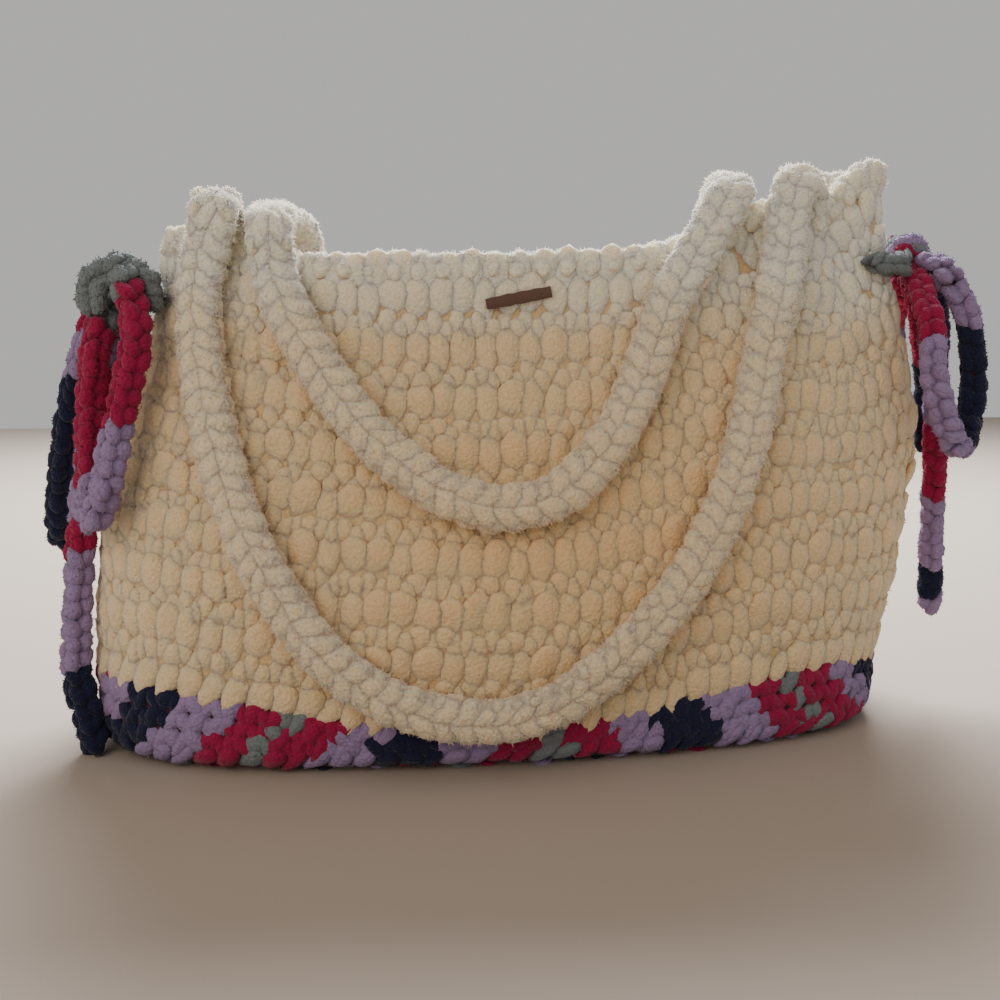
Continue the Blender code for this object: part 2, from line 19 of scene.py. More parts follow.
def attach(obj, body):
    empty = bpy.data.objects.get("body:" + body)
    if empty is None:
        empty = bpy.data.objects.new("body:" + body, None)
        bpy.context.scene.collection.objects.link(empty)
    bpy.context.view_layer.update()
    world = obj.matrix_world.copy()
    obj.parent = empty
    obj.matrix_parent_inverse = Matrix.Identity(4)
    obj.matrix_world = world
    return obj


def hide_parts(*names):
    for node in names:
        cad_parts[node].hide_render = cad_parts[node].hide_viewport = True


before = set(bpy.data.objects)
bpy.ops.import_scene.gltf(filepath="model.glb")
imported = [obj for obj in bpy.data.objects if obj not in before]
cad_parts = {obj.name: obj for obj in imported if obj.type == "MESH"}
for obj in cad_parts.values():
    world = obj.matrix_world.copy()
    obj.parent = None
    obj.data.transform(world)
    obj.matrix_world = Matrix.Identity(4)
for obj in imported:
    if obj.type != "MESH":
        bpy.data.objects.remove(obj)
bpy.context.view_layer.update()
print("CAD nodes:", len(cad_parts))

# %% [markdown]
# ## The camera
#
# The photograph was taken close to the bag, a little left of its middle, near
# the height of the rim and looking slightly down and to the right. The camera
# comes first, because the cords are measured against what it sees.

# %% Set the camera
CAMERA_PLACE = (-0.080, -0.560, 0.200)
CAMERA_DOWN = math.radians(8.8)
CAMERA_TURN = math.radians(8.0)
SENSOR = 36.0
LENS = 39.6

camera_data = bpy.data.cameras.new("camera")
camera_data.sensor_width = SENSOR
camera_data.lens = LENS
camera_data.clip_start = 0.01
camera = bpy.data.objects.new("camera", camera_data)
camera.location = CAMERA_PLACE
camera.rotation_euler = (math.pi / 2 - CAMERA_DOWN, 0.0, -CAMERA_TURN)
bpy.context.collection.objects.link(camera)
bpy.context.scene.camera = camera
print("camera lens, mm:", LENS)

# %% [markdown]
# ## Sizes and yarn colours
#
# Sizes are in metres. The bag is worked in a cream yarn and in one yarn that
# changes colour along its length: navy, lavender, raspberry and slate grey.
# The colours are linear values, as Blender's shaders take them. The cream has
# light painted into it: a painted highlight makes the thick rim and the tops of
# the straps pale, and a painted glow makes the belly warm, where light comes
# through a single wall.

# %% Name the sizes and colours
WALL = 0.0095
STITCH_WIDE = 0.0108
CREAM_ROWS = 18
BAND_ROWS = 3
STRAP_WIDTH = 0.0210
STRAP_THICKNESS = 0.0130
STRAP_GAP = 0.0012
TIE_DIAMETER = 0.0145
LEAD_DIAMETER = 0.0095
HALF_WIDTH = 0.215
HALF_DEPTH = 0.075
RIM_HEIGHT = 0.235

CREAM = (0.82, 0.61, 0.38)
# Painted light in the cream: a warm painted glow on the belly, where light comes through the wall, and
# a pale painted highlight at the rim.
PAINTED_GLOW_CREAM = (0.80, 0.53, 0.28)
PAINTED_HIGHLIGHT_CREAM = (0.90, 0.82, 0.66)
NAVY = (0.011, 0.014, 0.042)
LAVENDER = (0.27, 0.20, 0.36)
RASPBERRY = (0.29, 0.011, 0.060)
GREY = (0.165, 0.195, 0.205)
# Painted shade: the dark plum backing under the ties, knots and band shows as shade between their
# stitches.
PLUM_PAINTED_SHADE = (0.060, 0.018, 0.035)

# Where the painted glow and the painted highlight fall.
PAINTED_GLOW_MIDDLE = (0.020, 0.100)
PAINTED_GLOW_REACH = (0.135, 0.080)
PAINTED_HIGHLIGHT_FROM = 0.190
PAINTED_HIGHLIGHT_TO = 0.226


def blend_colours(a, b, share):
    return tuple(u + (v - u) * share for u, v in zip(a, b))


def cream_with_painted_light(place, pale=0.0):
    """The cream yarn's colour at a place, with light painted in: a warm glow on the belly and a pale
    highlight at the rim, paler still by a share of painted highlight.
    """
    across = (place[0] - PAINTED_GLOW_MIDDLE[0]) / PAINTED_GLOW_REACH[0]
    height = (place[2] - PAINTED_GLOW_MIDDLE[1]) / PAINTED_GLOW_REACH[1]
    # Painted glow: warmer round the middle of the belly.
    tone = blend_colours(CREAM, PAINTED_GLOW_CREAM, math.exp(-across**2 - height**2))
    # Painted highlight: paler towards the rim.
    rise = min(max((place[2] - PAINTED_HIGHLIGHT_FROM) / (PAINTED_HIGHLIGHT_TO - PAINTED_HIGHLIGHT_FROM), 0.0), 1.0)
    return blend_colours(tone, PAINTED_HIGHLIGHT_CREAM, max(rise, pale))


print("cream on the belly and at the rim:", cream_with_painted_light((0, 0, 0.1)), cream_with_painted_light((0, 0, RIM_HEIGHT)))

# %% [markdown]
# ## The chenille finish
#
# Chenille is a fine core with a short soft pile. From close by it shows three
# things: a matt velvety edge glow, a pebbly grain about a millimetre across,
# and deeper, warmer colour where two stitches press together and light only
# reaches through the pile; that colour is painted shade. A node group makes
# the colour, with its painted shade, and the grain from two attributes that each
# stitch carries: its yarn colour, and its crest, which is 0 down in the gap and
# 1 on top. The shader stays in the material.

# %% Name the helpers for node trees
def new_tree(name, kind, inputs, outputs):
    """A node tree of a kind, with named inputs and outputs."""
    tree = bpy.data.node_groups.new(name, kind)
    for label, form, value in inputs:
        socket = tree.interface.new_socket(label, in_out="INPUT", socket_type="NodeSocket" + form)
        if value is not None:
            socket.default_value = value
    for label, form in outputs:
        tree.interface.new_socket(label, in_out="OUTPUT", socket_type="NodeSocket" + form)
    return tree


def set_inputs(tree, node, inputs):
    """Each input takes a value, or a link where an output is given."""
    for label, value in inputs.items():
        if isinstance(value, bpy.types.NodeSocket):
            tree.links.new(value, node.inputs[label])
        else:
            node.inputs[label].default_value = value


def add_node(tree, kind, inputs=None, **settings):
    """A new node, with its settings made before its inputs are filled."""
    node = tree.nodes.new(kind)
    for label, value in settings.items():
        setattr(node, label, value)
    set_inputs(tree, node, inputs or {})
    return node


def add_math(tree, operation, *values):
    """The result of a Math node."""
    return add_node(tree, "ShaderNodeMath", dict(enumerate(values)), operation=operation).outputs[0]


def add_mix(tree, blend, share, under, over):
    """The colour that a Mix node puts out."""
    inputs = {"Factor": share, "A": under, "B": over}
    return add_node(tree, "ShaderNodeMix", inputs, data_type="RGBA", blend_type=blend).outputs["Result"]


# %% Build the chenille node group
PILE_SIZE = 900.0
PATCH_SIZE = 70.0
TUFTS_TO_PILE = 0.62
TUFT_MIDDLE = 0.45
CREST_FULL = 0.62
WHITE = (1.0, 1.0, 1.0, 1.0)


def make_chenille_group():
    group = new_tree("chenille", "ShaderNodeTree", (
        ("Yarn", "Color", (0.8, 0.7, 0.5, 1.0)),
        ("Crest", "Float", 1.0),
        ("Gap Tint", "Color", (0.8, 0.6, 0.4, 1.0)),
        ("Pile Size", "Float", PILE_SIZE),
        ("Patchiness", "Float", 0.12),
        ("Tuft Shade", "Float", 0.20),
    ), (("Color", "Color"), ("Height", "Float")))
    take = add_node(group, "NodeGroupInput").outputs
    place = add_node(group, "ShaderNodeTexCoord").outputs["Object"]
    pile = add_node(group, "ShaderNodeTexNoise", {
        "Vector": place, "Scale": take["Pile Size"], "Detail": 3.0, "Roughness": 0.65,
    }).outputs["Fac"]
    patch = add_node(group, "ShaderNodeTexNoise", {
        "Vector": place, "Scale": PATCH_SIZE, "Detail": 2.0,
    }).outputs["Fac"]
    tuft = add_node(group, "ShaderNodeTexVoronoi", {
        "Vector": place, "Scale": add_math(group, "MULTIPLY", take["Pile Size"], TUFTS_TO_PILE),
    }).outputs["Distance"]
    # Height: fine noise with rounder tufts under it.
    height = add_math(group, "MULTIPLY_ADD", tuft, -1.0, pile)
    # Less light comes out from between the tufts.
    between = add_math(group, "SUBTRACT", TUFT_MIDDLE, tuft)
    tufted = add_math(group, "MULTIPLY_ADD", between, take["Tuft Shade"], 1.0)
    # Colour: painted shade in the gaps gives way to the yarn over the lower crest.
    rise = add_node(group, "ShaderNodeMapRange", {
        "Value": take["Crest"], "From Min": 0.0, "From Max": CREST_FULL,
    }, interpolation_type="SMOOTHSTEP").outputs["Result"]
    shade_in_gaps = add_mix(group, "MIX", rise, take["Gap Tint"], WHITE)
    shaded_yarn = add_mix(group, "MULTIPLY", 1.0, take["Yarn"], shade_in_gaps)
    # Patches and pile make the shade a little uneven.
    uneven = add_math(group, "SUBTRACT", add_math(group, "ADD", patch, pile), 1.0)
    share = add_math(group, "MULTIPLY_ADD", uneven, take["Patchiness"], tufted)
    final = add_mix(group, "MULTIPLY", 1.0, shaded_yarn, share)
    add_node(group, "NodeGroupOutput", {"Color": final, "Height": height})
    return group


chenille_group = make_chenille_group()
print("chenille group nodes:", len(chenille_group.nodes))


# %% Make the two yarn materials
GRAIN_DEPTH = 0.0017
GLOW_DEPTH = 0.006


def make_chenille(name, painted_gap_shade, patchiness, grain, sheen, glow, reach):
    """A yarn's material. Grain is the strength of the pile's relief. Glow is
    how much light spreads inside the yarn, and reach how far each colour."""
    material = bpy.data.materials.new(name)
    material.use_nodes = True
    tree = material.node_tree
    fuzz = add_node(tree, "ShaderNodeGroup", {
        "Yarn": add_node(tree, "ShaderNodeAttribute", attribute_name="yarn").outputs["Color"],
        "Crest": add_node(tree, "ShaderNodeAttribute", attribute_name="crest").outputs["Fac"],
        "Gap Tint": (*painted_gap_shade, 1.0),
        "Pile Size": PILE_SIZE,
        "Patchiness": patchiness,
    }, node_tree=chenille_group).outputs
    bump = add_node(tree, "ShaderNodeBump", {
        "Strength": grain, "Distance": GRAIN_DEPTH, "Height": fuzz["Height"],
    })
    set_inputs(tree, tree.nodes["Principled BSDF"], {
        "Base Color": fuzz["Color"],
        "Normal": bump.outputs["Normal"],
        "Roughness": 0.95,
        "Specular IOR Level": 0.15,
        "Sheen Weight": sheen,
        "Sheen Roughness": 0.45,
        "Subsurface Weight": glow,
        "Subsurface Radius": reach,
        "Subsurface Scale": GLOW_DEPTH,
    })
    return material


# The gap shades are painted shade, darker and warmer down where the crest is low.
cream_yarn = make_chenille(
    "cream chenille", painted_gap_shade=(0.93, 0.75, 0.52), patchiness=0.12, grain=0.60,
    sheen=0.35, glow=0.50, reach=(1.0, 0.62, 0.32))
changing_yarn = make_chenille(
    "changing chenille", painted_gap_shade=(0.46, 0.40, 0.46), patchiness=0.24, grain=0.55,
    sheen=0.14, glow=0.0, reach=(1.0, 0.7, 0.7))
print("yarn materials:", cream_yarn.name, "and", changing_yarn.name)

# %% [markdown]
# ## One stitch
#
# A chenille stitch reads as a plump petal: full and round at the top, where
# the loop turns, and slimmer at the foot, where it dives into the row below.
# A second, rounder form is a pebble, for the rows that show the back of the
# stitch. Both are closed forms of a few dozen faces, because they are
# repeated thousands of times. Each is one unit long, and stands on its +Z.

# %% Shape the petal and the pebble
def make_stitch(name, foot, crown, sides, rings):
    """A closed plump form, built ring by ring from its foot. foot is the
    width at its lower end, as a share of the upper end's, and crown says how
    flat its top is. Its faces come in a fixed order and point outwards."""
    places, crests, faces = [], [], []
    for ring in range(rings + 1):
        level = math.pi * ring / rings
        y = -0.5 * math.cos(level)
        along = y + 0.5
        # It is as wide as it gets from four fifths of its length upwards.
        wide = foot + (1.0 - foot) * math.sin(min(along * 1.25, 1.0) * math.pi / 2)
        for k in range(sides if 0 < ring < rings else 1):
            turn = 2 * math.pi * k / sides
            x = 0.5 * math.sin(level) * math.sin(turn)
            z = 0.5 * math.sin(level) * math.cos(turn)
            height = math.copysign(abs(2 * z) ** crown / 2, z)
            places.append((x * wide, y, height * (0.8 + 0.2 * along)))
            # The crest is low on the back and at the slim foot, so painted shade falls there.
            crests.append(max(0.0, min(1.0, 0.45 + 1.1 * z)) * (0.55 + 0.45 * wide))
    top = len(places) - 1
    for k in range(sides):
        after = (k + 1) % sides
        faces.append((0, 1 + after, 1 + k))
        for start in range(1, top - sides, sides):
            faces.append((start + k, start + after, start + sides + after, start + sides + k))
        faces.append((top - sides + k, top - sides + after, top))
    mesh = bpy.data.meshes.new(name)
    mesh.from_pydata(places, [], faces)
    mesh.attributes.new("crest", "FLOAT", "POINT").data.foreach_set("value", crests)
    mesh.shade_smooth()
    return bpy.data.objects.new(name, mesh)


petal = make_stitch("petal", 0.55, 0.85, 10, 6)
pebble = make_stitch("pebble", 0.88, 0.80, 8, 4)
print("faces in a petal and a pebble:", len(petal.data.polygons), len(pebble.data.polygons))

# %% [markdown]
# ## Laying stitches with Geometry Nodes
#
# Each place for a stitch is one point that carries where the stitch faces,
# which way it grows, how big it is, its yarn colour and its kind. The tree
# puts a petal or a pebble on every point, turns it to face out, shakes it a
# little with a fixed seed, makes the instances real, and roughens the whole
# with noise, so no two stitches are alike. It also takes a backing, the plain
# form that the stitches grow on, so that nothing shows through the gaps.

# %% Name the parts that both trees use
def named(tree, label, kind):
    """The output of an attribute that the geometry carries."""
    node = add_node(tree, "GeometryNodeInputNamedAttribute", {"Name": label}, data_type=kind)
    return node.outputs["Attribute"]


def seeded(tree, low, high, seed):
    """A random vector between two numbers, another one for each point."""
    inputs = {0: low, 1: high, "Seed": seed}
    return add_node(tree, "FunctionNodeRandomValue", inputs, data_type="FLOAT_VECTOR").outputs[0]


def shaken(tree, rotation, reach, seed):
    """A rotation with a seeded turn, up to a reach either way on each axis."""
    least = add_math(tree, "MULTIPLY", reach, -1.0)
    turn = add_node(tree, "FunctionNodeEulerToRotation", {0: seeded(tree, least, reach, seed)})
    both = {0: rotation, 1: turn.outputs[0]}
    return add_node(tree, "FunctionNodeRotateRotation", both, rotation_space="LOCAL").outputs[0]


def from_object(tree, source, as_instance=False):
    inputs = {"Object": source, "As Instance": as_instance}
    return add_node(tree, "GeometryNodeObjectInfo", inputs).outputs["Geometry"]


def join(tree, *geometries):
    """Geometries in one. The last one joined comes first."""
    node = add_node(tree, "GeometryNodeJoinGeometry")
    for geometry in geometries:
        tree.links.new(geometry, node.inputs["Geometry"])
    return node.outputs["Geometry"]


def make_real(tree, geometry):
    return add_node(tree, "GeometryNodeRealizeInstances", {"Geometry": geometry}).outputs["Geometry"]


def dress(tree, geometry, material):
    inputs = {"Geometry": geometry, "Material": material}
    return add_node(tree, "GeometryNodeSetMaterial", inputs).outputs["Geometry"]


# %% Build the crochet tree
def make_crochet_tree():
    tree = new_tree("crochet", "GeometryNodeTree", (
        ("Geometry", "Geometry", None),
        ("Petal", "Object", None),
        ("Pebble", "Object", None),
        ("Backing", "Object", None),
        ("Shake Turn", "Float", 0.12),
        ("Shake Size", "Float", 0.10),
        ("Lump Height", "Float", 0.0012),
        ("Lump Size", "Float", 230.0),
        ("Seed", "Int", 1),
        ("Yarn Material", "Material", None),
    ), (("Geometry", "Geometry"),))
    take = add_node(tree, "NodeGroupInput").outputs
    # The petal is joined last, so it is kind 0 and the pebble kind 1.
    forms = join(tree, from_object(tree, take["Pebble"], True), from_object(tree, take["Petal"], True))
    face = add_node(tree, "FunctionNodeAxesToRotation", {
        "Primary Axis": named(tree, "facing", "FLOAT_VECTOR"),
        "Secondary Axis": named(tree, "growing", "FLOAT_VECTOR"),
    }, primary_axis="Z", secondary_axis="Y").outputs["Rotation"]
    # A seeded shake of each stitch's size.
    small = add_math(tree, "SUBTRACT", 1.0, take["Shake Size"])
    large = add_math(tree, "ADD", 1.0, take["Shake Size"])
    size = add_node(tree, "ShaderNodeVectorMath", {
        0: named(tree, "size", "FLOAT_VECTOR"), 1: seeded(tree, small, large, take["Seed"]),
    }, operation="MULTIPLY")
    lay = add_node(tree, "GeometryNodeInstanceOnPoints", {
        "Points": take["Geometry"],
        "Instance": forms,
        "Pick Instance": True,
        "Instance Index": named(tree, "kind", "INT"),
        "Rotation": shaken(tree, face, take["Shake Turn"], take["Seed"]),
        "Scale": size.outputs["Vector"],
    })
    # Noise pushes the surface in and out.
    noise = add_node(tree, "ShaderNodeTexNoise", {"Scale": take["Lump Size"], "Detail": 1.5})
    middle = add_node(tree, "ShaderNodeVectorMath", {
        0: noise.outputs["Color"], 1: (0.5, 0.5, 0.5),
    }, operation="SUBTRACT")
    push = add_node(tree, "ShaderNodeVectorMath", {
        0: middle.outputs["Vector"], "Scale": take["Lump Height"],
    }, operation="SCALE")
    rough = add_node(tree, "GeometryNodeSetPosition", {
        "Geometry": make_real(tree, lay.outputs["Instances"]), "Offset": push.outputs["Vector"],
    })
    # The backing goes in under the stitches.
    whole = join(tree, from_object(tree, take["Backing"]), rough.outputs["Geometry"])
    smooth = add_node(tree, "GeometryNodeSetShadeSmooth", {"Geometry": whole})
    real = make_real(tree, smooth.outputs["Geometry"])
    add_node(tree, "NodeGroupOutput", {"Geometry": dress(tree, real, take["Yarn Material"])})
    return tree


crochet_tree = make_crochet_tree()
print("crochet tree nodes:", len(crochet_tree.nodes))

# %% [markdown]
# A piece of crochet is then a list of places. The helper below turns the list
# into points with attributes, sets the tree's inputs by their identifiers,
# lets Blender work the tree out once, and keeps the result as a plain mesh.

# %% Work a list of stitches into one piece
PETAL, PEBBLE = 0, 1


class Stitch:
    """One place for a stitch."""

    def __init__(self, place, facing, growing, size, yarn, kind):
        self.place = place
        self.facing = facing
        self.growing = growing
        self.size = size
        self.yarn = yarn
        self.kind = kind


def add_object(name, mesh):
    thing = bpy.data.objects.new(name, mesh)
    bpy.context.collection.objects.link(thing)
    return thing


def socket_id(tree, label):
    for item in tree.interface.items_tree:
        if item.item_type == "SOCKET" and item.in_out == "INPUT" and item.name == label:
            return item.identifier
    raise KeyError(label)


def work_tree(piece, tree, settings):
    """Let a tree work on a piece once, and keep the result as its mesh."""
    worked = piece.modifiers.new(tree.name, "NODES")
    worked.node_group = tree
    for label, value in settings.items():
        worked[socket_id(tree, label)] = value
    graph = bpy.context.evaluated_depsgraph_get()
    plain = bpy.data.meshes.new_from_object(
        piece.evaluated_get(graph), preserve_all_data_layers=True, depsgraph=graph)
    plain.name = piece.name
    piece.modifiers.clear()
    piece.data = plain
    triangles = sum(len(face.vertices) - 2 for face in plain.polygons)
    print(f"{piece.name}: {triangles} triangles after the {tree.name} tree")


def lay_stitches(name, stitches, backing, material, seed, shake=0.12, grow=0.10, lump=0.0012):
    """A crocheted piece from its list of stitches. shake, grow and lump say
    how uneven the stitches' turns, sizes and surface are."""
    mesh = bpy.data.meshes.new(name + "_points")
    mesh.from_pydata([s.place for s in stitches], [], [])
    columns = (
        ("facing", "FLOAT_VECTOR", "vector", [v for s in stitches for v in s.facing]),
        ("growing", "FLOAT_VECTOR", "vector", [v for s in stitches for v in s.growing]),
        ("size", "FLOAT_VECTOR", "vector", [v for s in stitches for v in s.size]),
        ("yarn", "FLOAT_COLOR", "color", [v for s in stitches for v in (*s.yarn, 1.0)]),
        ("kind", "INT", "value", [s.kind for s in stitches]),
    )
    for label, kind, key, values in columns:
        mesh.attributes.new(label, kind, "POINT").data.foreach_set(key, values)
    piece = add_object(name, mesh)
    print(f"{name}: {len(stitches)} stitches")
    work_tree(piece, crochet_tree, {
        "Petal": petal,
        "Pebble": pebble,
        "Backing": backing,
        "Shake Turn": shake,
        "Shake Size": grow,
        "Lump Height": lump,
        "Seed": seed,
        "Yarn Material": material,
    })
    return piece


def keep_mesh(bm, name):
    """A plain mesh from a finished bmesh."""
    mesh = bpy.data.meshes.new(name)
    bm.to_mesh(mesh)
    bm.free()
    return mesh


def make_backing(name, node, sink, yarn, crest=0.0):
    """A plain form just under a CAD solid's surface. Its crest sets how much painted gap shade the yarn
    material lays on it.
    """
    bm = bmesh.new()
    bm.from_mesh(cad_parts[node].data)
    bmesh.ops.remove_doubles(bm, verts=bm.verts, dist=1e-5)
    bm.normal_update()
    moves = [vert.co - vert.normal * sink for vert in bm.verts]
    depth = bm.verts.layers.float.new("crest")
    for vert, place in zip(bm.verts, moves):
        vert.co = place
        vert[depth] = crest
    mesh = keep_mesh(bm, name)
    colour = mesh.attributes.new("yarn", "FLOAT_COLOR", "POINT")
    colour.data.foreach_set("color", [v for _ in mesh.vertices for v in (*yarn, 1.0)])
    mesh.materials.clear()
    return bpy.data.objects.new(name, mesh)


def hand_over(piece, node=None):
    """Let a piece ride on the bag, in the place of its CAD node."""
    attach(piece, "root")
    if node:
        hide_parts(node)


# %% [markdown]
# ## The pile
#
# Against the light the yarn has a soft furry edge. So a second tree scatters
# short tufts over a finished piece. Each stands on the surface with a seeded
# lean, and takes the colour of the yarn that it grows from.

# %% Build the pile tree
TUFT_CREST = 0.35
TUFT_LEAST = 0.5
TUFT_MOST = 1.2


def make_tuft():
    bm = bmesh.new()
    bmesh.ops.create_cone(bm, cap_ends=True, segments=3, radius1=0.5, radius2=0.0, depth=1.0)
    bmesh.ops.triangulate(bm, faces=bm.faces)
    crest = bm.verts.layers.float.new("crest")
    for vert in bm.verts:
        vert.co.z += 0.5
        vert[crest] = 1.0
    return bpy.data.objects.new("tuft", keep_mesh(bm, "tuft"))


def make_pile_tree():
    tree = new_tree("pile", "GeometryNodeTree", (
        ("Geometry", "Geometry", None),
        ("Tuft", "Object", None),
        ("Density", "Float", 300000.0),
        ("Length", "Float", 0.0016),
        ("Width", "Float", 0.0007),
        ("Lean", "Float", 0.7),
        ("Seed", "Int", 1),
        ("Yarn Material", "Material", None),
    ), (("Geometry", "Geometry"),))
    take = add_node(tree, "NodeGroupInput").outputs
    # Tufts grow on the crests, not down in the gaps.
    high = add_node(tree, "FunctionNodeCompare", {
        0: named(tree, "crest", "FLOAT"), 1: TUFT_CREST,
    }, data_type="FLOAT", operation="GREATER_THAN")
    scatter = add_node(tree, "GeometryNodeDistributePointsOnFaces", {
        "Mesh": take["Geometry"],
        "Selection": high.outputs["Result"],
        "Density": take["Density"],
        "Seed": take["Seed"],
    }).outputs
    span = add_node(tree, "ShaderNodeCombineXYZ", {
        "X": take["Width"], "Y": take["Width"], "Z": take["Length"],
    })
    vary = add_node(tree, "FunctionNodeRandomValue", {
        2: TUFT_LEAST, 3: TUFT_MOST, "Seed": take["Seed"],
    }, data_type="FLOAT")
    size = add_node(tree, "ShaderNodeVectorMath", {
        0: span.outputs["Vector"], "Scale": vary.outputs[1],
    }, operation="SCALE")
    tufts = add_node(tree, "GeometryNodeInstanceOnPoints", {
        "Points": scatter["Points"],
        "Instance": from_object(tree, take["Tuft"]),
        "Rotation": shaken(tree, scatter["Rotation"], take["Lean"], take["Seed"]),
        "Scale": size.outputs["Vector"],
    })
    furry = dress(tree, make_real(tree, tufts.outputs["Instances"]), take["Yarn Material"])
    add_node(tree, "NodeGroupOutput", {"Geometry": join(tree, take["Geometry"], furry)})
    return tree


tuft = make_tuft()
pile_tree = make_pile_tree()
print("pile tree nodes:", len(pile_tree.nodes))


# %% Raise the pile on a piece
def raise_pile(piece, density, length, material, seed):
    """Scatter tufts over a piece, so many to a square metre."""
    work_tree(piece, pile_tree, {
        "Tuft": tuft,
        "Density": density,
        "Length": length,
        "Seed": seed,
        "Yarn Material": material,
    })


# %% [markdown]
# ## The ties
#
# Each top corner is cinched with a crocheted tie: a knot over the folded
# gusset, two loops and two tails that hang from it, and a short lead from
# each corner of the wall to the knot. They are limp cords. Their routes are
# the ones of the CAD model, in metres, and a smooth curve runs through each.

# %% Lay out the routes of the ties
TIE_ROUTES = {
    "tie_left_loop_front": (
        (-0.1809, -0.0154, 0.2242), (-0.1785, -0.0345, 0.2275), (-0.1717, -0.0450, 0.2009),
        (-0.1758, -0.0480, 0.1774), (-0.1822, -0.0510, 0.1516), (-0.1884, -0.0518, 0.1269),
        (-0.1939, -0.0472, 0.1140), (-0.1975, -0.0390, 0.1187), (-0.1974, -0.0330, 0.1410),
        (-0.1959, -0.0292, 0.1680), (-0.1918, -0.0315, 0.1951), (-0.1859, -0.0108, 0.2125),
    ),
    "tie_left_loop_back": (
        (-0.1904, 0.0126, 0.2218), (-0.1964, 0.0225, 0.2221), (-0.2068, 0.0292, 0.1998),
        (-0.2174, 0.0300, 0.1692), (-0.2243, 0.0300, 0.1351), (-0.2289, 0.0315, 0.1034),
        (-0.2272, 0.0375, 0.0905), (-0.2213, 0.0450, 0.0963), (-0.2164, 0.0480, 0.1222),
        (-0.2077, 0.0480, 0.1621), (-0.1882, 0.0450, 0.2021), (-0.1845, 0.0140, 0.2154),
    ),
    "tie_left_tail_front": (
        (-0.1869, -0.0016, 0.2102), (-0.1908, -0.0030, 0.1998), (-0.1971, -0.0082, 0.1716),
        (-0.2031, -0.0127, 0.1339), (-0.2063, -0.0172, 0.1081), (-0.2088, -0.0278, 0.0635),
        (-0.2085, -0.0338, 0.0376), (-0.2005, -0.0375, 0.0028),
    ),
    "tie_left_tail_back": (
        (-0.1876, 0.0061, 0.2112), (-0.1930, 0.0127, 0.1998), (-0.1999, 0.0158, 0.1669),
        (-0.2067, 0.0150, 0.1281),
    ),
    "tie_right_loop_front": (
        (0.2180, -0.0140, 0.2341), (0.2214, -0.0315, 0.2268), (0.2325, -0.0353, 0.2059),
        (0.2365, -0.0367, 0.1774), (0.2319, -0.0428, 0.1509), (0.2229, -0.0503, 0.1422),
        (0.2140, -0.0555, 0.1516), (0.2070, -0.0570, 0.1669), (0.2039, -0.0555, 0.1833),
        (0.2072, -0.0450, 0.2040), (0.2132, -0.0112, 0.2310),
    ),
    "tie_right_loop_back": (
        (0.2243, 0.0095, 0.2381), (0.2396, 0.0255, 0.2350), (0.2516, 0.0315, 0.2174),
        (0.2563, 0.0345, 0.1951), (0.2558, 0.0360, 0.1692), (0.2505, 0.0390, 0.1539),
        (0.2433, 0.0465, 0.1563), (0.2382, 0.0480, 0.1786), (0.2339, 0.0435, 0.2044),
        (0.2197, 0.0105, 0.2314),
    ),
    "tie_right_tail_front": (
        (0.2183, -0.0051, 0.2287), (0.2220, -0.0113, 0.2150), (0.2302, -0.0098, 0.1786),
        (0.2349, -0.0075, 0.1356), (0.2365, -0.0060, 0.0914), (0.2387, -0.0045, 0.0494),
    ),
    "tie_right_tail_back": (
        (0.2204, 0.0026, 0.2294), (0.2275, 0.0060, 0.2150), (0.2360, 0.0090, 0.1786),
        (0.2396, 0.0105, 0.1363),
    ),
}
LEAD_ROUTES = {
    "tie_left_lead_front": (
        (-0.1652, -0.0300, 0.2140), (-0.1697, -0.0236, 0.2141), (-0.1714, -0.0160, 0.2142),
        (-0.1755, -0.0103, 0.2168),
    ),
    "tie_left_lead_back": (
        (-0.1653, 0.0307, 0.2140), (-0.1697, 0.0242, 0.2141), (-0.1714, 0.0165, 0.2142),
        (-0.1755, 0.0105, 0.2169),
    ),
    "tie_right_lead_front": (
        (0.1795, -0.0370, 0.2324), (0.1928, -0.0309, 0.2324), (0.2019, -0.0226, 0.2327),
        (0.2083, -0.0117, 0.2362),
    ),
    "tie_right_lead_back": (
        (0.1795, 0.0379, 0.2323), (0.1929, 0.0317, 0.2324), (0.2020, 0.0232, 0.2326),
        (0.2084, 0.0118, 0.2362),
    ),
}
KNOTS = {
    "tie_left_knot": (-0.1828, 0.0, 0.2215),
    "tie_right_knot": (0.2152, 0.0, 0.2400),
}
KNOT_SIZE = (0.0190, 0.0300, 0.0230)
CURVE_STEPS = 12
LINE_STEP = 0.004


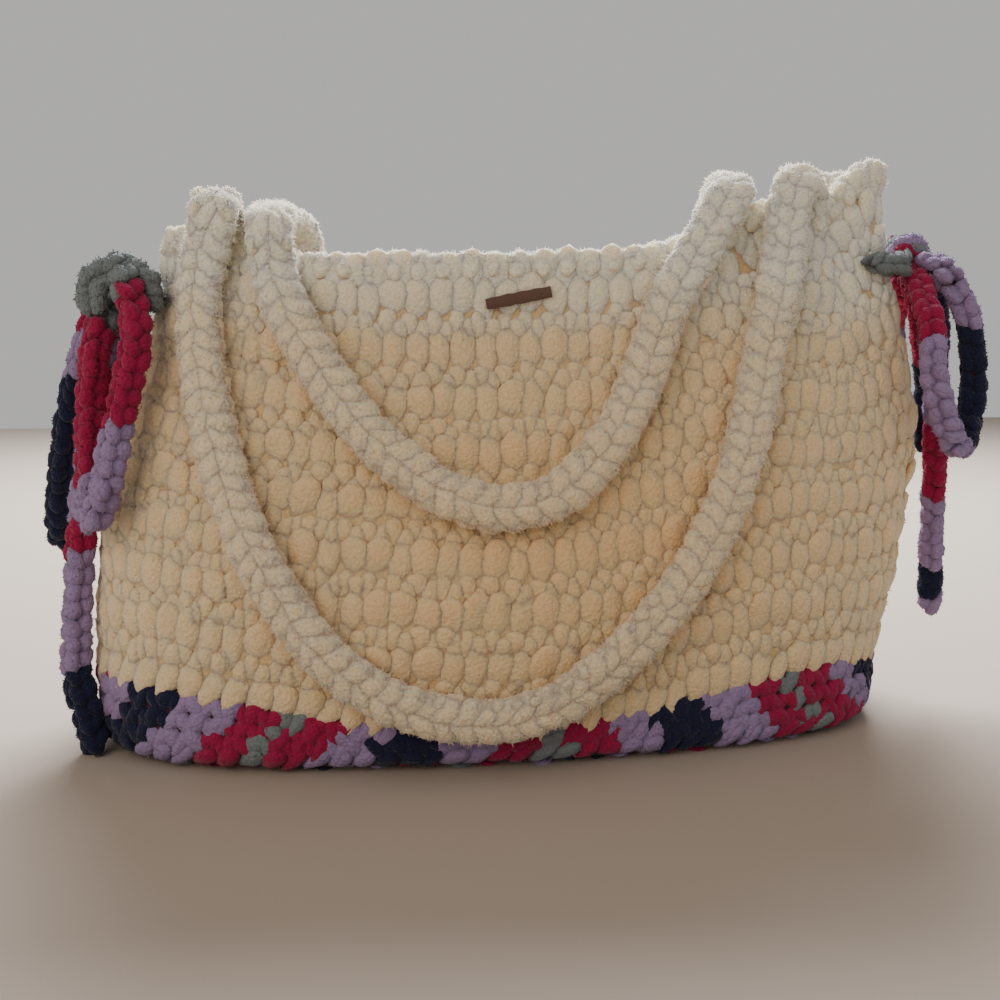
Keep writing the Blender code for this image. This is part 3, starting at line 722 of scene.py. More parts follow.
def smooth_way(points, step):
    """Rows of numbers at even steps along a smooth curve through rows of
    numbers. The first three of each row are its place."""
    dense = []
    last = len(points) - 1
    for i in range(last):
        p1, p2 = points[i], points[i + 1]
        p0 = points[i - 1] if i > 0 else [2 * a - b for a, b in zip(p1, p2)]
        p3 = points[i + 2] if i + 2 <= last else [2 * b - a for a, b in zip(p1, p2)]
        for k in range(CURVE_STEPS):
            t = k / CURVE_STEPS
            dense.append([
                0.5 * (2 * b + (c - a) * t + (2 * a - 5 * b + 4 * c - d) * t**2
                       + (3 * b - a - 3 * c + d) * t**3)
                for a, b, c, d in zip(p0, p1, p2, p3)
            ])
    dense.append(list(points[last]))
    lengths = [0.0]
    for a, b in zip(dense, dense[1:]):
        lengths.append(lengths[-1] + math.dist(a[:3], b[:3]))
    count = max(2, round(lengths[-1] / step))
    way = []
    i = 0
    for k in range(count + 1):
        target = lengths[-1] * k / count
        while i < len(dense) - 2 and lengths[i + 1] < target:
            i += 1
        part = (target - lengths[i]) / (lengths[i + 1] - lengths[i])
        way.append([a + (b - a) * part for a, b in zip(dense[i], dense[i + 1])])
    return way


def way_length(way):
    return sum(math.dist(a[:3], b[:3]) for a, b in zip(way, way[1:]))


for name, route in TIE_ROUTES.items():
    print(name, "m:", round(way_length(smooth_way(route, LINE_STEP)), 3))

# %% [markdown]
# The yarn of the ties changes colour along its length. The chart says, for
# each piece, how far along it each colour starts, as a share of its length,
# read from the real bag where it can be seen.

# %% Chart the colours along each tie
TIE_COLOURS = {
    "tie_left_loop_front": (
        (0.00, GREY), (0.13, RASPBERRY), (0.36, LAVENDER), (0.64, RASPBERRY), (0.90, GREY),
    ),
    "tie_left_loop_back": (
        (0.00, GREY), (0.07, RASPBERRY), (0.13, LAVENDER), (0.21, NAVY), (0.74, LAVENDER),
        (0.88, GREY),
    ),
    "tie_left_tail_front": (
        (0.00, LAVENDER), (0.15, RASPBERRY), (0.30, LAVENDER), (0.50, RASPBERRY), (0.57, LAVENDER),
        (0.82, NAVY),
    ),
    "tie_left_tail_back": ((0.00, RASPBERRY), (0.60, LAVENDER)),
    "tie_right_loop_front": (
        (0.00, LAVENDER), (0.20, NAVY), (0.46, LAVENDER), (0.76, RASPBERRY),
    ),
    "tie_right_loop_back": ((0.00, LAVENDER), (0.15, NAVY), (0.55, LAVENDER), (0.80, RASPBERRY)),
    "tie_right_tail_front": (
        (0.00, NAVY), (0.25, LAVENDER), (0.42, RASPBERRY), (0.67, LAVENDER), (0.86, NAVY),
        (0.94, LAVENDER),
    ),
    "tie_right_tail_back": ((0.00, RASPBERRY), (0.50, NAVY)),
    "tie_left_lead_front": ((0.00, GREY),),
    "tie_left_lead_back": ((0.00, GREY), (0.50, LAVENDER)),
    "tie_right_lead_front": ((0.00, GREY),),
    "tie_right_lead_back": ((0.00, RASPBERRY),),
}


def colour_along(chart, share):
    found = chart[0][1]
    for start, colour in chart:
        if share >= start:
            found = colour
    return found


print("charted ties:", len(TIE_COLOURS))


# %% Work stitches round a cord
TIE_ROW = 0.0080
# A petal's size as shares of the cord's width, a row and the cord's depth.
TIE_PETAL = (0.57, 1.62, 0.64)
TIE_OFF_MIDDLE = (0.20, 0.16)
V_LEAN = 0.45


def cord_frames(way, out_hint):
    """Middle, direction, outward and across at each row of a way."""
    frames = []
    last = len(way) - 1
    for i, row in enumerate(way):
        before = Vector(way[max(i - 1, 0)][:3])
        after = Vector(way[min(i + 1, last)][:3])
        along = (after - before).normalized()
        out = Vector(row[3:6]) if len(row) > 3 else Vector(out_hint)
        out = (out - along * out.dot(along)).normalized()
        frames.append((Vector(row[:3]), along, out, along.cross(out)))
    return frames


def cord_stitches(way, diameter, chart, out_hint, seed):
    """Petals in pairs that lean apart, like the Vs of a crocheted chain, on
    the outer and the inner side of a cord, none quite in line."""
    wander = random.Random(seed)
    size = (diameter * TIE_PETAL[0], TIE_ROW * TIE_PETAL[1], diameter * TIE_PETAL[2])
    aside, above = TIE_OFF_MIDDLE
    stitches = []
    frames = cord_frames(way, out_hint)
    last = len(frames) - 1
    for i, (start, along, out, across) in enumerate(frames[:-1]):
        middle = start.lerp(frames[i + 1][0], 0.5)
        yarn = colour_along(chart, (i + 0.5) / last)
        for side in (-1, 1):
            for face in (-1, 1):
                away = across * side * diameter * aside + out * face * diameter * above
                stagger = 0.22 * side + 0.14 * face + wander.uniform(-0.16, 0.16)
                place = middle + away + along * TIE_ROW * stagger
                facing = (across * side * V_LEAN + out * face).normalized()
                growing = (along + across * side * V_LEAN).normalized()
                stitches.append(Stitch(place, facing, growing, size, yarn, PETAL))
    return stitches


# %% Make the ties
TIE_STEP = 0.0078
LEAD_STEP = 0.0060
TIE_BACKING_SINK = 0.0026
TIE_PILE = (200000.0, 0.0012)
TIE_SEED, LEAD_SEED, KNOT_SEED = 20, 40, 60


def make_tie(name, route, diameter, step, seed):
    """One piece of a tie, worked along its route."""
    out_hint = (-1.0, -0.6, 0.0) if "left" in name else (1.0, -0.6, 0.0)
    way = smooth_way(route, step)
    stitches = cord_stitches(way, diameter, TIE_COLOURS[name], out_hint, seed)
    # Its dark plum is painted shade between the stitches.
    backing = make_backing(name + "_backing", name, TIE_BACKING_SINK, PLUM_PAINTED_SHADE)
    piece = lay_stitches(
        name + "_chain", stitches, backing, changing_yarn, seed, shake=0.26, grow=0.14, lump=0.0018)
    raise_pile(piece, *TIE_PILE, changing_yarn, seed)
    hand_over(piece, name)
    return piece


for seed, (name, route) in enumerate(TIE_ROUTES.items(), TIE_SEED):
    chain = make_tie(name, route, TIE_DIAMETER, TIE_STEP, seed)
    line = [tuple(row[:3]) for row in smooth_way(route, LINE_STEP)]

for seed, (name, route) in enumerate(LEAD_ROUTES.items(), LEAD_SEED):
    make_tie(name, route, LEAD_DIAMETER, LEAD_STEP, seed)


# %% Tie the knots
KNOT_ROWS = (
    # height on the knot, stitches in the row
    (0.55, 6), (0.0, 8), (-0.55, 6),
)
KNOT_SINK = 0.72
KNOT_WIND = (0.35, 0.25, 1.0)
KNOT_PETAL = (0.0100, 0.0150, 0.0080)
KNOT_PILE = (300000.0, 0.0014)
KNOT_YARNS = {
    "tie_left_knot": (GREY, GREY, GREY, LAVENDER),
    "tie_right_knot": (LAVENDER, LAVENDER, RASPBERRY, GREY),
}
LEFT_BAR = (
    (-0.1925, -0.0330, 0.2120), (-0.1915, -0.0335, 0.2215), (-0.1850, -0.0340, 0.2250),
    (-0.1765, -0.0345, 0.2252), (-0.1698, -0.0350, 0.2230), (-0.1680, -0.0350, 0.2130),
)
BAR_STEP = 0.0050
BAR_PETAL = (0.0088, 0.0125, 0.0095)


def knot_stitches(middle, yarns):
    """Fat petals wound round a knot in three rows, each aslant."""
    stitches = []
    half = [size / 2 for size in KNOT_SIZE]
    for row, (up, count) in enumerate(KNOT_ROWS):
        ring = math.sqrt(1 - up**2)
        for k in range(count):
            turn = 2 * math.pi * (k + 0.5 * (row % 2)) / count
            facing = Vector((math.cos(turn) * ring, math.sin(turn) * ring, up))
            place = Vector(middle) + Vector([n * h * KNOT_SINK for n, h in zip(facing, half)])
            growing = facing.cross(Vector(KNOT_WIND)).normalized()
            yarn = yarns[(k + row) % len(yarns)]
            stitches.append(Stitch(place, facing, growing, KNOT_PETAL, yarn, PETAL))
    return stitches


def bar_stitches():
    """The grey turn of yarn that joins the tops of the front left loop."""
    stitches = []
    for middle, along, out, across in cord_frames(smooth_way(LEFT_BAR, BAR_STEP), (-0.2, -1.0, 0.0)):
        for side in (-1, 1):
            place = middle + across * side * 0.0028
            facing = (out + across * side * 0.5).normalized()
            growing = (along + across * side * 0.4).normalized()
            stitches.append(Stitch(place, facing, growing, BAR_PETAL, GREY, PETAL))
    return stitches


for seed, (name, middle) in enumerate(KNOTS.items(), KNOT_SEED):
    # Its dark plum is painted shade between the stitches.
    backing = make_backing(name + "_backing", name, 0.0015, PLUM_PAINTED_SHADE)
    stitches = knot_stitches(middle, KNOT_YARNS[name])
    if "left" in name:
        stitches += bar_stitches()
    knot = lay_stitches(name + "_wraps", stitches, backing, changing_yarn, seed, lump=0.0022)
    raise_pile(knot, *KNOT_PILE, changing_yarn, seed)
    hand_over(knot, name)

# %% [markdown]
# ## Reading the walls
#
# The stitches have to follow the belly, the corners and the folded gussets of
# the CAD walls. So rays look at the wall from outside, from a track that runs
# round the bag, and each height and turn gives one point of a fine grid. The
# grid is even along the wall at its fullest height, and it runs from the
# band line to the rim, wherever these are at that turn.

# %% Look at the walls with rays
SPINE = 0.120
TRACK = 0.070
GRID_ROUND = 352
GRID_UP = 72
TRACK_LOOKS = 1400
FULL_HEIGHT = 0.075
RAY_LENGTH = 0.3
SPINE_CLEAR = 0.012
EDGE_HALVINGS = 14


def node_tree(node):
    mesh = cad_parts[node].data
    return BVHTree.FromPolygons([v.co for v in mesh.vertices], [p.vertices for p in mesh.polygons])


body_tree = node_tree("body")
base_tree = node_tree("base")


def track_ray(share):
    """The spine point and outward direction at a share of the track, which
    starts behind the middle and runs left, along the front, and right."""
    arc = math.pi * TRACK
    run = (share % 1.0) * (4 * SPINE + 2 * arc)
    if run < SPINE:
        return Vector((-run, 0, 0)), Vector((0, 1, 0))
    run -= SPINE
    if run < arc:
        turn = math.pi / 2 + run / TRACK
        return Vector((-SPINE, 0, 0)), Vector((math.cos(turn), math.sin(turn), 0))
    run -= arc
    if run < 2 * SPINE:
        return Vector((-SPINE + run, 0, 0)), Vector((0, -1, 0))
    run -= 2 * SPINE
    if run < arc:
        turn = -math.pi / 2 + run / TRACK
        return Vector((SPINE, 0, 0)), Vector((math.cos(turn), math.sin(turn), 0))
    run -= arc
    return Vector((SPINE - run, 0, 0)), Vector((0, 1, 0))


def look_at_wall(tree, share, height):
    """Where a ray from outside meets a wall, or None over its edge."""
    spine, out = track_ray(share)
    spine.z = height
    hit = tree.ray_cast(spine + out * RAY_LENGTH, -out, RAY_LENGTH)[0]
    if hit is None or (hit - spine).dot(out) < SPINE_CLEAR:
        return None
    return hit


def even_shares():
    """Track shares that are even steps along the wall at its full height."""
    points = [look_at_wall(body_tree, i / TRACK_LOOKS, FULL_HEIGHT) for i in range(TRACK_LOOKS + 1)]
    lengths = [0.0]
    for a, b in zip(points, points[1:]):
        lengths.append(lengths[-1] + (b - a).length)
    shares = []
    i = 0
    for k in range(GRID_ROUND):
        target = lengths[-1] * k / GRID_ROUND
        while lengths[i + 1] < target:
            i += 1
        part = (target - lengths[i]) / (lengths[i + 1] - lengths[i])
        shares.append((i + part) / TRACK_LOOKS)
    return shares, lengths[-1]


def find_edge(tree, share, start, stop):
    """The last height with a wall, going from start towards stop."""
    good, bad = start, stop
    for _ in range(EDGE_HALVINGS):
        middle = (good + bad) / 2
        if look_at_wall(tree, share, middle) is None:
            bad = middle
        else:
            good = middle
    return good


SHARES, girth = even_shares()
rim_line = [find_edge(body_tree, s, 0.150, 0.330) for s in SHARES]
band_line = [find_edge(body_tree, s, 0.090, 0.000) for s in SHARES]
print("girth of the bag, m:", round(girth, 3))
print("rim from", round(min(rim_line), 3), "to", round(max(rim_line), 3))


# %% Fill the two wall grids
def fill_grid(tree, low, high, rows):
    grid = []
    for j in range(rows + 1):
        line = []
        for i, share in enumerate(SHARES):
            height = low[i] + (high[i] - low[i]) * j / rows
            line.append(look_at_wall(tree, share, height))
        for i, point in enumerate(line):
            if point is None:
                line[i] = line[i - 1].copy() if line[i - 1] else grid[-1][i].copy()
        grid.append(line)
    return grid


BAND_UP = 12
WALL_TALL = 0.22
FRAME_REACH = 0.012


class Wall:
    """A wall's grid of points, read smoothly at any turn and height."""

    def __init__(self, tree, low, high, rows):
        self.rows = rows
        self.grid = fill_grid(tree, low, high, rows)

    def point(self, turn, up):
        a = (turn % 1.0) * GRID_ROUND
        b = min(max(up, 0.0), 1.0) * self.rows
        i, j = int(a) % GRID_ROUND, min(int(b), self.rows - 1)
        u, v = a - int(a), b - j
        k = (i + 1) % GRID_ROUND
        low = self.grid[j][i].lerp(self.grid[j][k], u)
        high = self.grid[j + 1][i].lerp(self.grid[j + 1][k], u)
        return low.lerp(high, v)

    def frame_at(self, turn, up):
        """Place, outward way, way along the row and way up."""
        step = FRAME_REACH / girth
        rise = FRAME_REACH / WALL_TALL
        place = self.point(turn, up)
        along = (self.point(turn + step, up) - self.point(turn - step, up)).normalized()
        steep = self.point(turn, min(up + rise, 1.0)) - self.point(turn, max(up - rise, 0.0))
        out = along.cross(steep).normalized()
        return place, out, along, out.cross(along).normalized()


body_wall = Wall(body_tree, [h + 0.0004 for h in band_line], [h - 0.0045 for h in rim_line], GRID_UP)
band_wall = Wall(base_tree, [0.0100] * GRID_ROUND, [h - 0.0012 for h in band_line], BAND_UP)
print("wall grid points:", GRID_ROUND * (GRID_UP + 1 + BAND_UP + 1))

# %% [markdown]
# ## The cream body
#
# Going up the bag, rows of tall smooth petals take turns with rows of short
# pebbles, because the work shows the front of the stitch in one row and its
# back in the next. The lowest row leans and ends in teeth that bite into the
# band. The top row is a row of full round petals that fold over the rim. The
# same rows show inside, from behind.

# %% Work the body
ROW_TALL = 0.0135
ROW_LEAN = 0.12
TOOTH_LEAN = 0.40
BODY_PETAL = (STITCH_WIDE * 1.40, ROW_TALL * 1.78, 0.0075)
BODY_PEBBLE = (STITCH_WIDE * 0.96, ROW_TALL * 0.98, 0.0060)
BODY_TOOTH = (STITCH_WIDE * 1.36, ROW_TALL * 1.62, 0.0082)


def body_stitches():
    """The wall's stitches. Those of the lowest row are the teeth."""
    count = round(girth / STITCH_WIDE)
    wander = random.Random(5)
    stitches = []

    def add(turn, up, size, sink, tilt, lean, kind):
        place, out, along, rise = body_wall.frame_at(turn, up / CREAM_ROWS)
        facing = (out - rise * tilt).normalized()
        growing = (rise + along * lean).normalized()
        stitches.append(Stitch(place - out * sink, facing, growing, size, cream_with_painted_light(place), kind))

    for row in range(CREAM_ROWS):
        pebbly = row % 2 == 1 and row < CREAM_ROWS - 1
        for k in range(count):
            turn = (k + 0.5 * (row % 2)) / count
            if pebbly:
                for side in (-1, 1):
                    up = row + 0.5 + side * 0.15 + wander.uniform(-0.12, 0.12)
                    across = turn + (side * 0.25 + wander.uniform(-0.08, 0.08)) / count
                    add(across, up, BODY_PEBBLE, 0.0024, 0.08, ROW_LEAN, PEBBLE)
            elif row == 0:
                add(turn, 0.38, BODY_TOOTH, 0.0028, -0.05, TOOTH_LEAN, PETAL)
            else:
                across = turn + wander.uniform(-0.07, 0.07) / count
                up = row + 0.5 + wander.uniform(-0.06, 0.06)
                add(across, up, BODY_PETAL, 0.0031, 0.15, ROW_LEAN, PETAL)
    return stitches


# The body's backing has a low crest, so it gets painted shade in the gaps.
body_backing = make_backing("body_backing", "body", 0.0018, CREAM, 0.25)
body_piece = lay_stitches(
    "body_crochet", body_stitches(), body_backing, cream_yarn, 1, shake=0.18, grow=0.15, lump=0.0023)
raise_pile(body_piece, 15000.0, 0.0016, cream_yarn, 1)
hand_over(body_piece, "body")


# %% Work the rim
RIM_SHARE = 0.94
RIM_FOLDS = (
    # lean, depth in the wall, size
    (0.35, 0.0026, (0.0132, 0.0150, 0.0094)),
    (-0.35, 0.0070, (0.0124, 0.0140, 0.0085)),
)
CROWN_PEBBLE = (0.0100, 0.0140, 0.0086)
UP = Vector((0, 0, 1.0))


def rim_stitches():
    """Round petals that fold over the rim, outside and inside, and the chain
    of pebbles along its crown."""
    count = round(girth * RIM_SHARE / STITCH_WIDE)
    stitches = []
    for k in range(count):
        # The rim's cream carries the full painted highlight, and the crown pebbles its palest colour.
        place, out, along, rise = body_wall.frame_at(k / count, 1.0)
        for lean, sink, size in RIM_FOLDS:
            facing = (out * (1 if lean > 0 else -1) + Vector((0, 0, 0.55))).normalized()
            growing = (UP - out * lean + along * 0.18).normalized()
            middle = place - out * sink - Vector((0, 0, 0.0010))
            stitches.append(Stitch(middle, facing, growing, size, cream_with_painted_light(place), PETAL))
        place, out, along, rise = body_wall.frame_at((k + 0.5) / count, 1.0)
        crown = place - out * WALL * 0.48 + Vector((0, 0, 0.0010))
        growing = (along + out * 0.3).normalized()
        stitches.append(Stitch(crown, UP, growing, CROWN_PEBBLE, PAINTED_HIGHLIGHT_CREAM, PEBBLE))
    return stitches


rim_piece = lay_stitches(
    "rim_crochet", rim_stitches(), None, cream_yarn, 2, shake=0.20, grow=0.15, lump=0.0026)
raise_pile(rim_piece, 260000.0, 0.0018, cream_yarn, 2)
hand_over(rim_piece)


# %% Work the inside
INSIDE_ROWS = 13
INSIDE_WIDE = 0.0150
INSIDE_SINK = WALL - 0.0022
INSIDE_PEBBLE = (0.0178, 0.0210, 0.0056)


def inside_stitches():
    """The back of the rows, seen through the mouth."""
    count = round(girth / INSIDE_WIDE)
    stitches = []
    for row in range(INSIDE_ROWS):
        up = (row + 0.5) / INSIDE_ROWS
        for k in range(count):
            turn = (k + 0.5 * (row % 2)) / count
            place, out, along, rise = body_wall.frame_at(turn, up)
            middle = place - out * INSIDE_SINK
            growing = (rise + along * 0.15).normalized()
            stitches.append(Stitch(middle, -out, growing, INSIDE_PEBBLE, cream_with_painted_light(place), PEBBLE))
    return stitches


inside_piece = lay_stitches(
    "inside_crochet", inside_stitches(), None, cream_yarn, 3, shake=0.20, grow=0.12)
hand_over(inside_piece)

# %% [markdown]
# ## The band and the bottom
#
# Three rows of the yarn that changes colour go round the foot of the bag, and
# the bottom is worked in the same yarn. The colours come in the yarn's own
# order and lengths. A row is not a whole number of repeats long, so each row
# starts the order at another place, and the patches step sideways.

# %% Chart the changing yarn
YARN_RUN = (
    (NAVY, 0.025), (LAVENDER, 0.024), (RASPBERRY, 0.020), (GREY, 0.009), (RASPBERRY, 0.022),
    (LAVENDER, 0.021),
)
YARN_REPEAT = sum(length for _, length in YARN_RUN)


def yarn_at(length):
    """The yarn's colour at a length along the round."""
    rest = length % YARN_REPEAT
    for colour, run in YARN_RUN:
        if rest < run:
            return colour
        rest -= run
    return YARN_RUN[0][0]


print("yarn repeat, m:", round(YARN_REPEAT, 4))

# %% Work the band and the bottom
BAND_STITCH = 0.0104
FRONT_TURN = 0.5
NAVY_START = 0.069
BAND_SPREAD = 0.05
BAND_PAIR = (
    # lean, shift along the row, size
    (0.85, 0.14, (0.0098, 0.0180, 0.0088)),
    (-0.70, -0.30, (0.0088, 0.0150, 0.0080)),
)
EDGE_HEIGHT = 0.0066
EDGE_PETAL = (0.0100, 0.0160, 0.0085)
BOTTOM_RINGS = 6
BOTTOM_STEP = 0.0125
BOTTOM_HEIGHT = 0.0022
BOTTOM_PEBBLE = (0.0120, 0.0165, 0.0040)
BOTTOM_REPEAT = 0.031


def band_yarn(turn, row):
    """The yarn at a turn of a row. A lower row is worked on a smaller round,
    so that the same yarn reaches further from the middle of the front."""
    run = (turn - FRONT_TURN) * girth
    return yarn_at(run * (1.0 - BAND_SPREAD * (BAND_ROWS - 1 - row)) + NAVY_START)


def band_stitches():
    """Pairs of petals that cross, in three rows."""
    count = round(girth / BAND_STITCH)
    stitches = []
    for row in range(BAND_ROWS):
        up = (row + 0.5) / BAND_ROWS
        for k in range(count):
            turn = (k + 0.5 * (row % 2)) / count
            place, out, along, rise = band_wall.frame_at(turn, up)
            for lean, shift, size in BAND_PAIR:
                growing = (rise + along * lean).normalized()
                middle = place - out * (size[2] / 2 - 0.0012) + along * shift * BAND_STITCH
                yarn = band_yarn(turn + shift * BAND_STITCH / girth, row)
                stitches.append(Stitch(middle, out, growing, size, yarn, PETAL))
    return stitches


def edge_stitches():
    """The turn under the bag, where the wall goes over into the bottom."""
    count = round(girth / BAND_STITCH)
    stitches = []
    for k in range(count):
        turn = k / count
        place, out, along, rise = band_wall.frame_at(turn, 0.0)
        middle = Vector((place.x, place.y, EDGE_HEIGHT)) - out * 0.0032
        facing = (out + Vector((0, 0, -0.35))).normalized()
        growing = (along + rise * 0.8).normalized()
        stitches.append(Stitch(middle, facing, growing, EDGE_PETAL, band_yarn(turn, -1), PETAL))
    return stitches


def bottom_stitches():
    """Flat rows that circle the bottom."""
    stitches = []
    for ring in range(BOTTOM_RINGS):
        share = (ring + 0.5) / BOTTOM_RINGS
        ring_girth = girth * (0.45 + 0.50 * share)
        count = round(ring_girth / BOTTOM_STEP)
        for k in range(count):
            turn = (k + 0.5 * (ring % 2)) / count
            place, out, along, rise = band_wall.frame_at(turn, 0.0)
            middle = Vector((place.x * (0.62 + 0.33 * share), place.y * 0.93 * share, BOTTOM_HEIGHT))
            growing = (out + along * 0.6).normalized()
            yarn = yarn_at(turn * ring_girth + ring * BOTTOM_REPEAT)
            stitches.append(Stitch(middle, Vector((0, 0, -1)), growing, BOTTOM_PEBBLE, yarn, PEBBLE))
    return stitches


# Its dark plum is painted shade between the stitches.
base_backing = make_backing("base_backing", "base", 0.0018, PLUM_PAINTED_SHADE, 0.5)
base_piece = lay_stitches(
    "base_crochet", band_stitches() + edge_stitches() + bottom_stitches(), base_backing,
    changing_yarn, 4, shake=0.22, grow=0.16, lump=0.0022)
raise_pile(base_piece, 42000.0, 0.0014, changing_yarn, 4)
hand_over(base_piece, "base")

# %% [markdown]
# ## The straps
#
# Each strap is a soft crocheted strip. The front one rises from the front rim
# on both sides, bends over and hangs down the wall in a wide U. The back one
# starts on the back rim, crosses the mouth and hangs in a smaller U. Their
# ways are the ones of the CAD model: rows of shares of the bag's half width
# and of the rim's height, set against the wall by looking at it with rays.

# %% Lay out the ways of the straps
FRONT_STRAP_ON_WALL = (
    # across, height
    (-0.652, 0.950), (-0.658, 0.850), (-0.645, 0.720), (-0.602, 0.545),
    (-0.530, 0.390), (-0.414, 0.245), (-0.262, 0.155), (-0.100, 0.124),
    (0.050, 0.152), (0.186, 0.236), (0.290, 0.320), (0.380, 0.420),
    (0.446, 0.535), (0.496, 0.670), (0.535, 0.805), (0.575, 0.930),
)
BACK_STRAP_ON_WALL = (
    # across, height
    (-0.506, 0.950), (-0.475, 0.868), (-0.410, 0.755), (-0.320, 0.645),
    (-0.203, 0.554), (-0.080, 0.508), (0.022, 0.514), (0.112, 0.560),
    (0.185, 0.632), (0.242, 0.715), (0.287, 0.805), (0.330, 0.905),
)
BACK_STRAP_LEFT = (
    # across, front to back, height
    (-0.468, 0.54, 1.048), (-0.486, 0.32, 1.074), (-0.510, 0.00, 1.080),
    (-0.520, -0.36, 1.072), (-0.520, -0.66, 1.042),
)
BACK_STRAP_RIGHT = (
    # across, front to back, height
    (0.570, 0.52, 1.115), (0.560, 0.32, 1.140), (0.535, 0.00, 1.148),
    (0.500, -0.36, 1.142), (0.462, -0.66, 1.106),
)
FRONT_ROOTS = ((-0.1341, -0.0302, 0.2389), (0.1469, -0.0314, 0.2581))
BACK_ROOTS = ((-0.0989, 0.0387, 0.2341), (0.1224, 0.0367, 0.2551))
ARCH_RADIUS = 0.0088
ARCH_RISES = (0.0175, 0.0125)
ARCH_LEANS = (-0.002, -0.016)


def front_face(x, height):
    start, ahead = Vector((x, -0.4, max(height, 0.012))), Vector((0, 1, 0))
    hits = [tree.ray_cast(start, ahead, 0.5)[0] for tree in (body_tree, base_tree)]
    return min(hit.y for hit in hits if hit is not None)


def on_wall(row):
    x, height = row[0] * HALF_WIDTH, row[1] * RIM_HEIGHT
    reach = STRAP_WIDTH / 2
    up = min(reach, 0.232 - height) if height < 0.230 else 0.001
    slope_x = (front_face(x + reach, height) - front_face(x - reach, height)) / STRAP_WIDTH
    slope_z = (front_face(x, height + up) - front_face(x, height - reach)) / (reach + up)
    out = Vector((slope_x, -1.0, slope_z)).normalized()
    middle = Vector((x, front_face(x, height), height)) + out * (STRAP_THICKNESS / 2 + STRAP_GAP)
    return (*middle, *out)


def arch(root, rise, lean):
    root = Vector(root)
    way = [(*root, 0.0, 1.0, 0.0)]
    stem = rise - ARCH_RADIUS
    centre = root + Vector((0, -ARCH_RADIUS + STRAP_GAP, stem))
    way.append((root.x, root.y + STRAP_GAP / 2, root.z + stem / 2, 0.0, 1.0, 0.0))
    for i in range(5):
        turn = math.pi * i / 4
        out = Vector((0, math.cos(turn), math.sin(turn)))
        point = centre + out * ARCH_RADIUS
        way.append((point.x + lean * i / 4, point.y, point.z, 0.0, out.y, out.z))
    return way


def over_mouth(rows, root):
    way = [(*root, 0.0, 1.0, 0.0)]
    for across, deep, height in rows:
        middle = (across * HALF_WIDTH, deep * HALF_DEPTH, height * RIM_HEIGHT)
        way.append((*middle, 0.0, deep, 1.0 - abs(deep) / 2))
    return way


front_way = (arch(FRONT_ROOTS[0], ARCH_RISES[0], ARCH_LEANS[0])
             + [on_wall(row) for row in FRONT_STRAP_ON_WALL]
             + arch(FRONT_ROOTS[1], ARCH_RISES[1], ARCH_LEANS[1])[::-1])
back_way = (over_mouth(BACK_STRAP_LEFT, BACK_ROOTS[0])
            + [on_wall(row) for row in BACK_STRAP_ON_WALL]
            + over_mouth(BACK_STRAP_RIGHT, BACK_ROOTS[1])[::-1])
print("strap lengths, m:", round(way_length(front_way), 3), round(way_length(back_way), 3))


# %% Work the straps
# The straps are paler all along by this share of painted highlight.
STRAP_PAINTED_HIGHLIGHT = 0.30
STRAP_ROW = 0.0092
STRAP_LEAN = 0.55
STRAP_PETAL = (STRAP_WIDTH * 0.62, STRAP_ROW * 2.05, STRAP_THICKNESS * 0.78)
STRAP_EDGE = (STRAP_THICKNESS * 0.84, STRAP_ROW * 1.5, STRAP_WIDTH * 0.36)
STRAP_SEED = 10


def strap_stitches(way):
    """Petals in Vs on both faces, and pebbles along both edges."""
    stitches = []
    for middle, along, out, across in cord_frames(smooth_way(way, STRAP_ROW), (0.0, -1.0, 0.0)):
        yarn = cream_with_painted_light(middle, STRAP_PAINTED_HIGHLIGHT)
        for side in (-1, 1):
            growing = (along + across * side * STRAP_LEAN).normalized()
            for face in (-1, 1):
                away = across * side * STRAP_WIDTH * 0.18 + out * face * STRAP_THICKNESS * 0.15
                facing = (out * face + across * side * 0.35).normalized()
                stitches.append(Stitch(middle + away, facing, growing, STRAP_PETAL, yarn, PETAL))
            edge = middle + across * side * STRAP_WIDTH * 0.33 + along * STRAP_ROW * 0.5
            stitches.append(Stitch(edge, across * side, along, STRAP_EDGE, yarn, PEBBLE))
    return stitches


strap_ways = (("handle_front", front_way), ("handle_back", back_way))
for seed, (node, way) in enumerate(strap_ways, STRAP_SEED):
    # The strap's backing gets half the painted gap shade.
    backing = make_backing(node + "_backing", node, 0.0024, CREAM, 0.5)
    strap = lay_stitches(
        node + "_crochet", strap_stitches(way), backing, cream_yarn, seed,
        shake=0.16, grow=0.12, lump=0.0022)
    raise_pile(strap, 190000.0, 0.0018, cream_yarn, seed)
    hand_over(strap, node)

# %% [markdown]
# ## The label
#
# The small strip under the rim is plain brown woven tape, sewn down so that
# it lies over the stitches and sinks a little between them. It follows the
# wall like its CAD node, with soft edges and the fine cords of the weave.

# %% Shape the label
LABEL_LENGTH = 0.0310
LABEL_WIDTH = 0.0055
LABEL_THICKNESS = 0.0016
LABEL_PLACE = (0.0005, 0.2145)
LABEL_TILT = math.radians(11.0)
LABEL_STEPS = 40
LABEL_SEAT = 0.0006
LABEL_SINK = 0.0004
LABEL_EDGE = (
    # share of the width, share of the thickness
    (-0.5, 0.0), (-0.5, 0.7), (-0.38, 1.0), (0.0, 1.08), (0.38, 1.0), (0.5, 0.7), (0.5, 0.0),
)


